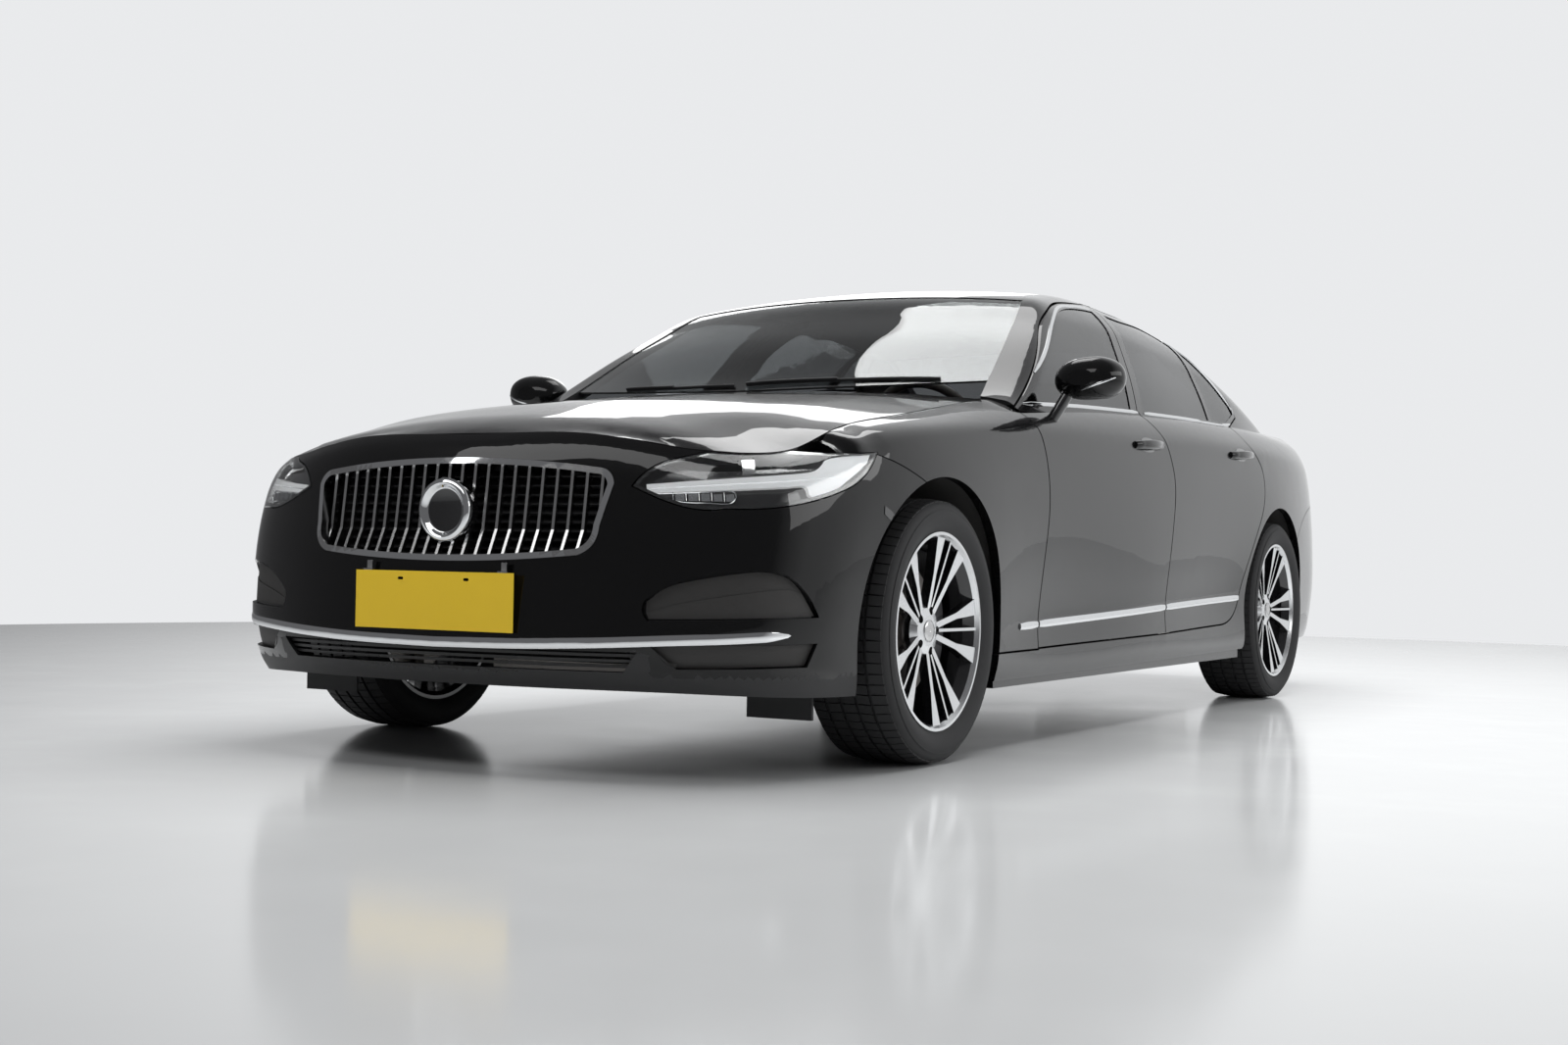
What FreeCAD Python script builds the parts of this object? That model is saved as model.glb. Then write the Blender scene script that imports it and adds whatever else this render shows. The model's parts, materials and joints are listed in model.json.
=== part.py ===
"""A full-size four-door sedan car, built as separate panels, glass, running gear and cabin pieces.

Frame: +X towards the nose, +Y towards the car's left side, +Z up.
The origin is on the ground, under the middle of the overall length and width. All sizes are in mm.
The outer skin is one lines plan: a plan curve around the car, and at each station a section of
insets and heights. Every lower panel is a piece of that skin with its own thickness.
"""
import FreeCAD, Part
import os
from math import atan2, cos, degrees, hypot, pi, radians, sin, sqrt
from FreeCAD import Placement, Rotation, Vector
import Sketcher

doc = FreeCAD.newDocument("sedan_car")
sheet = doc.addObject("Spreadsheet::Sheet", "sizes")

SIZES = [
    ("overall_length", 5090.0, "nose to tail"),
    ("body_width", 1879.0, "over the wheel arches, without the mirrors"),
    ("roof_height", 1450.0, "ground to the top of the roof"),
    ("wheelbase", 3061.0, "front axle to rear axle"),
    ("front_overhang", 895.0, "nose to front axle"),
    ("track", 1628.0, "between the wheels' centre planes"),
    ("tyre_radius", 339.5, "outside of the tread"),
    ("tyre_width", 245.0, "over the sidewalls"),
    ("rim_radius", 255.0, "outside of the rim's flange"),
    ("rim_width", 216.0, "over the rim's flanges"),
    ("arch_radius", 395.0, "wheel opening in the wings"),
    ("shut_gap", 6.0, "gap round doors, bonnet and boot lid"),
    ("skin_thickness", 26.0, "wings and quarter panels"),
    ("door_thickness", 66.0, "door skin to inner trim"),
    ("bumper_thickness", 30.0, "bumper covers"),
    ("lid_thickness", 28.0, "bonnet and boot lid"),
    ("roof_thickness", 34.0, "roof, pillars and window frames"),
    ("glass_thickness", 5.0, "every pane"),
    ("glass_recess", 3.0, "panes behind the skin"),
    ("disc_radius", 172.0, "brake disc"),
    ("disc_thickness", 28.0, "brake disc"),
]
for row, (alias, size, note) in enumerate(SIZES, start=1):
    sheet.set("A%d" % row, alias)
    sheet.set("B%d" % row, str(size))
    sheet.set("C%d" % row, note)
    sheet.setAlias("B%d" % row, alias)
doc.recompute()


def size(alias):
    """A driving dimension, read from the sheet."""
    return float(getattr(sheet, alias))


NOSE = size("overall_length") / 2
TAIL = -NOSE
FRONT = NOSE - size("front_overhang")
REAR = FRONT - size("wheelbase")
HALF = size("body_width") / 2
ROOF = size("roof_height")
GAP = size("shut_gap")
SEAT = 0.3
BELT = 960.0


def along(x):
    """A place on the 5.09 m car of the lines plan, carried to this wheelbase and these overhangs."""
    if x > 1650:
        return FRONT + (x - 1650) * (NOSE - FRONT) / 895
    if x < -1411:
        return REAR + (x + 1411) * (REAR - TAIL) / 1134
    return REAR + (x + 1411) * (FRONT - REAR) / 3061


def across(y):
    """A place beside the middle plane, carried to this body width."""
    return y + HALF - 939.5


def upward(z):
    """A height over the belt line, carried to this roof height."""
    return z if z < BELT else BELT + (z - BELT) * (ROOF - BELT) / 490


def spline(knots, values):
    """A natural cubic spline through the values; returns f(t)."""
    n = len(knots)
    h = [knots[i + 1] - knots[i] for i in range(n - 1)]
    lower = [0.0] * n
    diagonal = [1.0] * n
    upper = [0.0] * n
    right = [0.0] * n
    for i in range(1, n - 1):
        lower[i] = h[i - 1]
        diagonal[i] = 2 * (h[i - 1] + h[i])
        upper[i] = h[i]
        right[i] = 6 * ((values[i + 1] - values[i]) / h[i] - (values[i] - values[i - 1]) / h[i - 1])
    for i in range(1, n):
        factor = lower[i] / diagonal[i - 1]
        diagonal[i] -= factor * upper[i - 1]
        right[i] -= factor * right[i - 1]
    bend = [0.0] * n
    for i in range(n - 2, 0, -1):
        bend[i] = (right[i] - upper[i] * bend[i + 1]) / diagonal[i]

    def value(t):
        i = 0
        while i < n - 2 and t > knots[i + 1]:
            i += 1
        a = (knots[i + 1] - t) / h[i]
        b = 1 - a
        curve = ((a ** 3 - a) * bend[i] + (b ** 3 - b) * bend[i + 1]) * h[i] ** 2 / 6
        return a * values[i] + b * values[i + 1] + curve

    return value


def line_through(points):
    """A smooth function y(x) through a few (x, y) points, x rising."""
    points = sorted(points)
    return spline([p[0] for p in points], [p[1] for p in points])


# The lines plan of the lower body, left half, from the middle of the nose to the middle of the tail.
# Each station is its place on the plan curve and eleven (inset, height) pairs from the lower edge,
# over the flank and the shoulder, to the line where the bonnet, the glass or the boot lid begins.
STATIONS = [
    ((NOSE, 0), [(52, 208), (18, 250), (4, 310), (8, 400), (19, 500), (36, 600), (56, 680), (70, 730),
                 (82, 762), (98, 790), (120, 812)]),
    ((NOSE - 39, 420), [(52, 207), (18, 250), (0, 312), (5, 400), (16, 500), (33, 600), (52, 680),
                        (65, 728), (76, 758), (90, 784), (110, 806)]),
    ((NOSE - 105, 620), [(50, 205), (20, 250), (0, 318), (3, 400), (10, 490), (22, 580), (36, 650),
                         (47, 695), (58, 726), (71, 752), (90, 774)]),
    ((NOSE - 205, 782), [(46, 200), (20, 250), (2, 328), (0, 400), (4, 480), (12, 560), (24, 628),
                         (36, 676), (49, 711), (66, 740), (92, 765)]),
    ((NOSE - 345, 870), [(40, 195), (20, 250), (6, 338), (2, 420), (0, 500), (4, 580), (13, 648),
                         (27, 705), (44, 739), (68, 762), (102, 780)]),
    ((along(2005), HALF - 30), [(36, 192), (22, 250), (16, 345), (10, 440), (4, 540), (0, 630),
                                (3, 710), (14, 768), (34, 803), (72, 824), (124, 836)]),
    ((FRONT, HALF - 1), [(34, 192), (16, 255), (6, 345), (3, 450), (1, 560), (0, 660), (3, 750),
                         (16, 828), (40, 866), (88, 886), (150, 896)]),
    ((along(1105), HALF - 7), [(32, 192), (22, 255), (26, 335), (20, 450), (8, 570), (0, 680),
                               (0, 780), (6, 862), (24, 908), (76, 948), (150, 974)]),
    ((along(0), HALF - 5), [(32, 196), (22, 258), (28, 345), (22, 455), (8, 585), (0, 700),
                                (0, 800), (5, 890), (20, 944), (70, 1004), (142, 1022)]),
    ((along(-896), HALF - 4), [(32, 202), (22, 262), (28, 370), (20, 480), (6, 600), (0, 715),
                              (0, 815), (5, 902), (18, 956), (82, 1024), (152, 1044)]),
    ((REAR, HALF - 1), [(30, 206), (14, 265), (4, 380), (1, 490), (0, 600), (0, 710), (5, 810),
                        (15, 902), (32, 956), (90, 1020), (168, 1050)]),
    ((along(-1901), HALF - 30), [(30, 215), (20, 270), (10, 380), (4, 480), (0, 580), (2, 690),
                               (10, 800), (22, 892), (40, 948), (84, 1006), (156, 1046)]),
    ((TAIL + 330, HALF - 88), [(34, 225), (18, 275), (4, 380), (0, 470), (2, 570), (8, 680),
                               (18, 790), (32, 885), (50, 944), (82, 1002), (134, 1048)]),
    ((TAIL + 155, HALF - 185), [(38, 232), (16, 280), (2, 380), (0, 470), (4, 570), (12, 680),
                                (24, 790), (38, 885), (54, 945), (78, 1005), (112, 1056)]),
    ((TAIL + 60, HALF - 355), [(40, 238), (16, 285), (0, 380), (0, 470), (6, 570), (16, 680),
                               (30, 790), (44, 885), (58, 946), (76, 1010), (100, 1066)]),
    ((TAIL + 14, 320), [(42, 240), (16, 288), (0, 380), (0, 470), (6, 570), (18, 680), (33, 790),
                        (47, 885), (59, 948), (74, 1014), (92, 1076)]),
    ((TAIL, 0), [(42, 240), (16, 288), (0, 380), (0, 470), (6, 570), (18, 680), (34, 790),
                 (48, 885), (60, 950), (75, 1018), (90, 1082)]),
]
LEVELS = len(STATIONS[0][1])
RIM = LEVELS - 1.0


def mirrored_stations():
    """The left half with both neighbouring right halves, so the splines stay level at nose and tail."""
    half = [(x, y, section) for (x, y), section in STATIONS]
    other = [(x, -y, section) for x, y, section in half[::-1]]
    return other[:-1] + half + other[1:]


class Skin:
    """The lower body's skin: a point for any place along the plan curve and any level."""

    def __init__(self):
        rows = mirrored_stations()
        along = [0.0]
        for a, b in zip(rows, rows[1:]):
            along.append(along[-1] + hypot(b[0] - a[0], b[1] - a[1]))
        nose = len(STATIONS) - 1
        along = [s - along[nose] for s in along]
        self.end = along[2 * nose]
        self.x = spline(along, [r[0] for r in rows])
        self.y = spline(along, [r[1] for r in rows])
        self.inset = [spline(along, [r[2][j][0] for r in rows]) for j in range(LEVELS)]
        self.height = [spline(along, [r[2][j][1] for r in rows]) for j in range(LEVELS)]

    def column(self, s):
        """The section at s, as two functions of the level: how far in, and how high."""
        insets = spline(list(range(LEVELS)), [f(s) for f in self.inset])
        heights = spline(list(range(LEVELS)), [f(s) for f in self.height])
        return insets, heights

    def plan(self, s):
        """The place on the plan curve and the outward direction there."""
        step = 0.5
        dx = (self.x(s + step) - self.x(s - step)) / (2 * step)
        dy = (self.y(s + step) - self.y(s - step)) / (2 * step)
        length = hypot(dx, dy)
        return self.x(s), self.y(s), dy / length, -dx / length

    def row(self, s, levels):
        x, y, out_x, out_y = self.plan(s)
        insets, heights = self.column(s)
        return [Vector(x - insets(v) * out_x, y - insets(v) * out_y, heights(v)) for v in levels]

    def at_x(self, x):
        """The place along the plan curve where the left flank passes x."""
        low, high = 0.0, self.end
        while high - low > 0.01:
            middle = (low + high) / 2
            if self.x(middle) > x:
                low = middle
            else:
                high = middle
        return (low + high) / 2


skin = Skin()


def spread(first, last, count):
    """Evenly spaced values from first to last, both ends in."""
    return [first + (last - first) * i / (count - 1) for i in range(count)]


def normals(grid):
    """The outward direction at each point of a grid whose rows run round the car, left to right."""
    found = []
    rows, columns = len(grid), len(grid[0])
    for i in range(rows):
        line = []
        for j in range(columns):
            along = grid[min(i + 1, rows - 1)][j] - grid[max(i - 1, 0)][j]
            up = grid[i][min(j + 1, columns - 1)] - grid[i][max(j - 1, 0)]
            n = along.cross(up)
            line.append(n.normalize())
        found.append(line)
    return found


def surface(grid):
    made = Part.BSplineSurface()
    made.interpolate(grid)
    return made


def closed_between(outer, inner):
    """The solid between two surfaces made from grids of the same size."""
    faces = [outer.toShape(), inner.toShape()]
    borders = []
    for face in faces:
        s = face.Surface
        u0, u1, v0, v1 = s.bounds()
        borders.append([s.uIso(u0), s.uIso(u1), s.vIso(v0), s.vIso(v1)])
    for a, b in zip(*borders):
        faces.append(Part.makeRuledSurface(a.toShape(), b.toShape()))
    shell = Part.makeShell(faces)
    shell.sewShape()
    solid = Part.makeSolid(Part.Shell(shell.Faces) if shell.ShapeType != "Shell" else shell)
    if solid.Volume < 0:
        solid.reverse()
    return solid


def offset_grid(grid, depth):
    """The grid moved inward by depth along its own normals."""
    return [[p - n * depth for p, n in zip(row, directions)] for row, directions in zip(grid, normals(grid))]


def sheet_of(grid, thickness, recess=0.0):
    """A wall under a grid of skin points: recess is how far its outside lies under the skin."""
    outer = surface(offset_grid(grid, recess) if recess else grid)
    return closed_between(outer, surface(offset_grid(grid, recess + thickness)))


def skin_grid(s0, s1, columns, v0=0.0, v1=RIM, rows=25):
    levels = spread(v0, v1, rows)
    return [skin.row(s, levels) for s in spread(s0, s1, columns)]


def mirror(shape):
    return shape.mirror(Vector(0, 0, 0), Vector(0, 1, 0))


class Frame:
    """A drawing plane: its origin, its two axes, and the direction its outlines are cut in."""

    def __init__(self, origin, right, up, through):
        self.origin = origin
        self.right = right
        self.up = up
        self.through = through

    def place(self, point, depth):
        return self.origin + self.right * point[0] + self.up * point[1] + self.through * depth


SIDE_VIEW = Frame(Vector(0, 0, 0), Vector(1, 0, 0), Vector(0, 0, 1), Vector(0, 1, 0))
PLAN_VIEW = Frame(Vector(0, 0, 0), Vector(1, 0, 0), Vector(0, 1, 0), Vector(0, 0, 1))
FRONT_VIEW = Frame(Vector(0, 0, 0), Vector(0, 1, 0), Vector(0, 0, 1), Vector(1, 0, 0))
CORNER_VIEW = Frame(Vector(NOSE - 2545, HALF - 939.5, 0), Vector(-0.776, 0.631, 0), Vector(0, 0, 1),
                    Vector(0.631, 0.776, 0))


def loop(runs):
    """The corner points of an outline, in order, without its repeats."""
    points = []
    for run in runs:
        for p in run:
            if not points or hypot(p[0] - points[-1][0], p[1] - points[-1][1]) > 1e-6:
                points.append(p)
    if hypot(points[0][0] - points[-1][0], points[0][1] - points[-1][1]) < 1e-6:
        points.pop()
    return points


def grown(runs, distance):
    """The outline moved outward by a distance (inward if negative); runs stay runs."""
    points = loop(runs)
    n = len(points)
    area = sum(points[i][0] * points[(i + 1) % n][1] - points[(i + 1) % n][0] * points[i][1] for i in range(n))
    turn = 1 if area > 0 else -1
    moved = {}
    for i, p in enumerate(points):
        a, b = points[i - 1], points[(i + 1) % n]
        into = (p[0] - a[0], p[1] - a[1])
        out = (b[0] - p[0], b[1] - p[1])
        into = (into[0] / hypot(*into), into[1] / hypot(*into))
        out = (out[0] / hypot(*out), out[1] / hypot(*out))
        normal = ((into[1] + out[1]) * turn, -(into[0] + out[0]) * turn)
        scale = 2 * distance / (normal[0] ** 2 + normal[1] ** 2)
        scale = max(min(scale, abs(distance) * 1.6), -abs(distance) * 1.6)
        moved[p] = (p[0] + normal[0] * scale, p[1] + normal[1] * scale)
    return [[moved[min(points, key=lambda q: hypot(q[0] - p[0], q[1] - p[1]))] for p in run] for run in runs]


def prism(runs, frame, start, end):
    """An outline of straight and smooth runs, extruded through the body between two depths."""
    edges = []
    last = None
    first = frame.place(runs[0][0], start)
    for run in runs:
        placed = [frame.place(p, start) for p in run]
        if last is not None and (last - placed[0]).Length > 1e-4:
            edges.append(Part.makeLine(last, placed[0]))
        if len(placed) == 2:
            edges.append(Part.makeLine(placed[0], placed[1]))
        else:
            curve = Part.BSplineCurve()
            curve.interpolate(placed)
            edges.append(curve.toShape())
        last = placed[-1]
    if (last - first).Length > 1e-4:
        edges.append(Part.makeLine(last, first))
    face = Part.Face(Part.Wire(Part.__sortEdges__(edges)))
    return face.extrude(frame.through * (end - start))


def block(x, y, z):
    """A box between pairs of limits."""
    return Part.makeBox(abs(x[1] - x[0]), abs(y[1] - y[0]), abs(z[1] - z[0]), Vector(min(x), min(y), min(z)))


def rod(start, end, radius):
    return Part.makeCylinder(radius, (end - start).Length, start, end - start)


def main_piece(shape):
    """The largest solid of a cut, without its cut-off ends."""
    return max(shape.Solids, key=lambda solid: solid.Volume)


# The glasshouse: one surface over windscreen, pillars, roof and rear window.
CENTRE = line_through([(along(x), upward(z)) for x, z in [
    (1450, 925), (1230, 985), (1130, 1030), (800, 1208), (600, 1310), (540, 1341), (470, 1370),
    (400, 1389), (300, 1408), (100, 1436), (-100, 1448), (-300, 1450), (-600, 1438), (-900, 1402),
    (-1050, 1373), (-1400, 1262), (-1750, 1135), (-1880, 1092), (-2150, 1010)]])
FLANK = line_through([(upward(z), across(y)) for z, y in [
    (900, 900), (960, 882), (1006, 865), (1100, 826), (1200, 775), (1300, 716), (1380, 655),
    (1430, 600), (1470, 540)]])
TUCK = line_through([(along(x), inset) for x, inset in [
    (1250, 14), (1100, 10), (700, 2), (300, 0), (-300, 0), (-900, 14), (-1178, 18), (-1500, 42),
    (-1880, 92)]])
SWEEP = line_through([(along(x), bow) for x, bow in [
    (1250, 2.9e-4), (900, 2.9e-4), (700, 2.85e-4), (450, 2.4e-4), (200, 1.2e-4), (-50, 2e-5), (-300, 0.0),
    (-700, -1e-4), (-1000, -3e-4), (-1400, -3.5e-4), (-2000, -3.5e-4)]])
CROWN = line_through([(along(x), bow) for x, bow in [
    (1250, 0.0), (900, 2e-6), (700, 1e-5), (450, 4.5e-5), (200, 9e-5), (-100, 1.05e-4), (-600, 1.1e-4),
    (-1000, 9e-5), (-1400, 6e-5), (-2000, 4e-5)]])
ROUNDING = line_through([(along(x), reach) for x, reach in [
    (1250, 44), (900, 44), (450, 55), (200, 85), (-200, 115), (-800, 115), (-1100, 85), (-1880, 60)]])


def flank(x, z):
    """How far out the side of the glasshouse stands."""
    return FLANK(z) - TUCK(x)


def lid_height(x, y):
    """The height of windscreen, roof or rear window over a point of the plan."""
    return CENTRE(x + SWEEP(x) * y * y) - CROWN(x) * y * y


def hoop(x):
    """The glasshouse's section at x, from its left lower edge over the roof to the right one."""
    low, high = 880.0, ROOF
    while high - low > 0.01:
        z = (low + high) / 2
        if lid_height(x, flank(x, z)) > z:
            low = z
        else:
            high = z
    ridge = Vector(x, flank(x, low), low)
    reach = min(ROUNDING(x), 0.6 * (low - 870))
    foot = low - reach
    start = Vector(x, flank(x, foot), foot)
    inner = ridge.y - reach
    end = Vector(x, inner, lid_height(x, inner))
    half = [Vector(x, flank(x, z), z) for z in spread(860.0, foot, 9)]
    for i in range(1, 7):
        t = i / 7
        half.append(start * (1 - t) ** 2 + ridge * (2 * t * (1 - t)) + end * t ** 2)
    half += [Vector(x, y, lid_height(x, y)) for y in spread(inner, 0.0, 12)]
    return half + [Vector(p.x, -p.y, p.z) for p in half[-2::-1]]


def house_grid(x0, x1, columns):
    return [hoop(x) for x in spread(x0, x1, columns)]


HOUSE = house_grid(along(1200), along(-1880), 56)


def rim_line(s0, s1, count):
    """Points of the line where bonnet and boot lid meet the flanks."""
    return [skin.row(s, [RIM])[0] for s in spread(s0, s1, count)]


def table(points, key, value):
    """A spline through those points whose key keeps rising."""
    chosen = []
    for p in sorted(points, key=key):
        if not chosen or key(p) - key(chosen[-1]) > 12:
            chosen.append(p)
    return spline([key(p) for p in chosen], [value(p) for p in chosen])


class Cover:
    """A bonnet or boot lid: a height over the plan, drawn down to the flanks' upper line at its sides."""

    def __init__(self, centre, drop, shares, half_width, rim):
        self.centre = centre
        self.drop = drop
        self.shares = shares
        self.half_width = half_width
        self.low = min(p.x for p in rim) + 5
        self.high = max(p.x for p in rim) - 5
        self.rim_y = table(rim, lambda p: p.x, lambda p: p.y)
        errors = [Vector(p.x, p.z - self.plain(p.x, p.y), 0) for p in rim]
        self.error = table(errors, lambda p: p.x, lambda p: p.y)

    def plain(self, x, y):
        return self.centre(x) - self.drop(x) * self.shares(abs(y) / self.half_width)

    def height(self, x, y):
        inside = min(max(x, self.low), self.high)
        side = max(self.rim_y(inside), 560.0)
        return self.plain(x, y) + self.error(inside) * (abs(y) / side) ** 2

    def grid(self, x0, x1, columns, y_limit, rows):
        return [[Vector(x, y, self.height(x, y)) for y in spread(y_limit, -y_limit, rows)]
                for x in spread(x0, x1, columns)]


bonnet_shares = line_through([(0, 0), (0.25, 0.04), (0.5, 0.18), (0.62, 0.29), (0.72, 0.42), (0.85, 0.68),
                              (1, 1), (1.1, 1.3)])
BONNET = Cover(
    line_through([(along(x), z) for x, z in [(1000, 1020), (1200, 1008), (1641, 962), (2000, 916),
                                             (2170, 885), (2284, 862), (2368, 836), (2425, 812),
                                             (2470, 786)]]),
    line_through([(along(x), drop) for x, drop in [(1000, 42), (1037, 43), (1400, 58), (1641, 67), (1850, 74),
                                                   (2000, 84), (2170, 104), (2284, 116), (2368, 120),
                                                   (2450, 120)]]),
    bonnet_shares, across(785), rim_line(skin.end * 0.002, skin.at_x(along(1000)), 60))
DECK = Cover(
    line_through([(along(x), z) for x, z in [(-1500, 1090), (-1850, 1094), (-2100, 1094), (-2300, 1096),
                                             (-2440, 1098), (-2480, 1092)]]),
    line_through([(along(x), 40) for x in (-1500, -1850, -2100, -2480)]),
    line_through([(0, 0), (0.25, 0.05), (0.5, 0.22), (0.75, 0.53), (1, 1), (1.2, 1.5)]),
    across(755), rim_line(skin.at_x(along(-1600)), skin.end * 0.998, 60))

PIECES = {}


def keep(name, shape):
    """A finished piece: its name is the file's name."""
    piece = doc.addObject("Part::Feature", name)
    piece.Label = name
    piece.Shape = shape
    piece.Placement = shape.Placement
    PIECES[name] = piece


def keep_pair(name, left):
    keep(name + "_left", left)
    keep(name + "_right", mirror(left))


def drawn(points):
    """Outline points of the lines plan's side view, carried to this car."""
    return [(along(x), upward(z)) for x, z in points]


def plan_drawn(points):
    return [(along(x), across(y) if y > 0 else y) for x, y in points]


def both_halves(run):
    """A run that ends on the middle line, carried on to the other side."""
    return run + [(x, -y) for x, y in run[-2::-1]]


def both_sides(run):
    """A run seen from ahead that ends on the middle line, carried on to the other side."""
    return run + [(-y, z) for y, z in run[-2::-1]]


# Outlines in side view: x along the car, z up.
PILLAR_LINE = drawn([(-185, 1401), (31, 1017)])
PILLAR_CURVE = drawn([(31, 1017), (-32, 965), (-103, 883), (-150, 790), (-152, 656), (-154, 491), (-146, 284)])
FRONT_DOOR = [drawn([(950, 272), (935, 436), (934, 555), (949, 751), (984, 852), (1018, 909), (1058, 957)]),
              drawn([(1058, 957), (705, 1150), (364, 1326), (82, 1374), (-185, 1401)]),
              PILLAR_LINE, PILLAR_CURVE]
REAR_DOOR = [PILLAR_CURVE[::-1], PILLAR_LINE[::-1],
             drawn([(-185, 1401), (-500, 1387), (-893, 1344), (-1040, 1249), (-1183, 1121)]),
             drawn([(-1183, 1121), (-1190, 1074)]), drawn([(-1190, 1074), (-1024, 1023)]),
             drawn([(-1024, 1023), (-1050, 962), (-1120, 915), (-1178, 870), (-1195, 790), (-1172, 720),
                    (-1112, 640), (-1018, 510), (-972, 430), (-955, 390)]),
             drawn([(-955, 390), (-905, 335), (-830, 306), (-760, 298)])]
FRONT_WINDOW = [drawn([(1000, 978), (694, 1130), (354, 1306), (78, 1354), (-104, 1366)]),
                drawn([(-104, 1366), (92, 1016)]), drawn([(92, 1016), (560, 1000), (1000, 978)])]
REAR_WINDOW = [drawn([(-30, 1019), (-224, 1368)]),
               drawn([(-224, 1368), (-500, 1365), (-880, 1323), (-1024, 1231), (-1162, 1112)]),
               drawn([(-1162, 1112), (-1168, 1086)]), drawn([(-1168, 1086), (-1015, 1042)]),
               drawn([(-1015, 1042), (-500, 1031), (-30, 1019)])]
WINDOW_BAR = [drawn([(-782, 980), (-870, 1360)]), drawn([(-906, 1360), (-818, 980)])]
TAIL_SEAM = drawn([(-1640, 560), (-1800, 690), (-2000, 748), (-2200, 765)])

# Outlines in plan: x along the car, y to the left.
ROOF_EDGE = plan_drawn([(391, 604), (300, 578), (-300, 566), (-960, 560)])
SCREEN_EDGE = plan_drawn([(937, 729), (660, 672), (391, 604)])
BACKLIGHT_EDGE = plan_drawn([(-960, 560), (-1300, 598), (-1700, 672)])
SCREEN_BASE = both_halves(plan_drawn([(937, 729), (1075, 420), (1130, 200), (1150, 0)]))
SCREEN_TOP = both_halves(plan_drawn([(391, 604), (445, 300), (470, 0)]))
BACKLIGHT_TOP = both_halves(plan_drawn([(-960, 560), (-1040, 300), (-1068, 0)]))
BACKLIGHT_BASE = both_halves(plan_drawn([(-1700, 672), (-1785, 480), (-1842, 250), (-1862, 0)]))


def flipped(run):
    """The same run on the right side, walked the other way."""
    return [(x, -y) for x, y in run[::-1]]


WINDSCREEN = [SCREEN_EDGE, SCREEN_TOP, flipped(SCREEN_EDGE), SCREEN_BASE[::-1]]
ROOF_PANEL = [ROOF_EDGE, BACKLIGHT_TOP, flipped(ROOF_EDGE), SCREEN_TOP[::-1]]
BACKLIGHT = [BACKLIGHT_EDGE, BACKLIGHT_BASE, flipped(BACKLIGHT_EDGE), BACKLIGHT_TOP[::-1]]
front_foot = plan_drawn([(1230, 800), (937, 729)])
rear_foot = plan_drawn([(-1700, 672), (-1920, 700)])
MIDDLE_STRIP = [front_foot, SCREEN_EDGE, ROOF_EDGE, BACKLIGHT_EDGE, rear_foot,
                flipped(rear_foot), flipped(BACKLIGHT_EDGE), flipped(ROOF_EDGE), flipped(SCREEN_EDGE),
                flipped(front_foot)]

bonnet_side = [(p.x, p.y) for p in rim_line(0.0, skin.at_x(along(1050)), 21)][::-1]
bonnet_rear = both_halves([bonnet_side[0]] + plan_drawn([(1120, 560), (1170, 300), (1190, 0)]))
BONNET_EDGE = [both_halves(bonnet_side), bonnet_rear[::-1]]
deck_side = [(p.x, p.y) for p in rim_line(skin.at_x(along(-1745)), skin.end, 17)]
deck_front = both_halves([deck_side[0]] + plan_drawn([(-1812, 500), (-1856, 250), (-1874, 0)]))
DECK_EDGE = [both_halves(deck_side), deck_front[::-1]]

# Outlines seen from straight ahead: y to the left, z up.
GRILLE_EDGE = [[(452, 690), (440, 714), (405, 728)], both_sides([(405, 728), (200, 747), (0, 753)]),
               [(-405, 728), (-440, 714), (-452, 690)], [(-452, 690), (-432, 590)],
               [(-432, 590), (-420, 545), (-385, 521)], both_sides([(-385, 521), (-200, 507), (0, 502)]),
               [(385, 521), (420, 545), (432, 590)], [(432, 590), (452, 690)]]
INTAKE_EDGE = [[(540, 300), (500, 252)], [(-500, 252), (-540, 300)]]

# Outlines on the front corner: distance across the corner, and height.
LAMP_EDGE = [[(-1574, 684), (-1540, 722), (-1482, 748)], [(-1482, 748), (-1420, 764), (-1330, 790)],
             [(-1330, 790), (-1190, 775), (-966, 781)], [(-966, 781), (-1000, 737), (-1089, 684)],
             [(-1089, 684), (-1202, 651), (-1389, 635)], [(-1389, 635), (-1471, 637), (-1537, 663), (-1574, 684)]]
POCKET_EDGE = [[(-1562, 418), (-1496, 461), (-1329, 492), (-1246, 481)], [(-1246, 481), (-1205, 450), (-1158, 384)],
               [(-1158, 384), (-1555, 372)], [(-1555, 372), (-1566, 392), (-1562, 418)]]
OUTLET_EDGE = [[(-1555, 318), (-1490, 262)], [(-1490, 262), (-1185, 268)], [(-1185, 268), (-1160, 324)]]

side_start = skin.at_x(along(2105))
side_end = skin.end - 470.0
side_grid = skin_grid(side_start, side_end, 84)
nose_end = skin.at_x(along(1740))
nose_grid = skin_grid(-nose_end, nose_end, 61)
tail_start = skin.at_x(along(-1560))
tail_grid = skin_grid(tail_start, 2 * skin.end - tail_start, 61)

skin_wall = size("skin_thickness")
lid_wall = size("lid_thickness")
side_wall = sheet_of(side_grid, skin_wall)
nose_wall = sheet_of(nose_grid, size("bumper_thickness"))
tail_wall = sheet_of(tail_grid, size("bumper_thickness"))
house_wall = sheet_of(HOUSE, size("roof_thickness"))

AXLE = size("tyre_radius")
REACH = HALF + 60
front_arch = rod(Vector(FRONT, 480, AXLE), Vector(FRONT, REACH, AXLE), size("arch_radius"))
rear_arch = rod(Vector(REAR, 480, AXLE), Vector(REAR, REACH, AXLE), size("arch_radius"))
both_front_arches = front_arch.fuse(mirror(front_arch))
both_rear_arches = rear_arch.fuse(mirror(rear_arch))


def side_prism(runs, distance=0.0, y0=440.0):
    return prism(grown(runs, distance) if distance else runs, SIDE_VIEW, y0, REACH)


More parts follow.
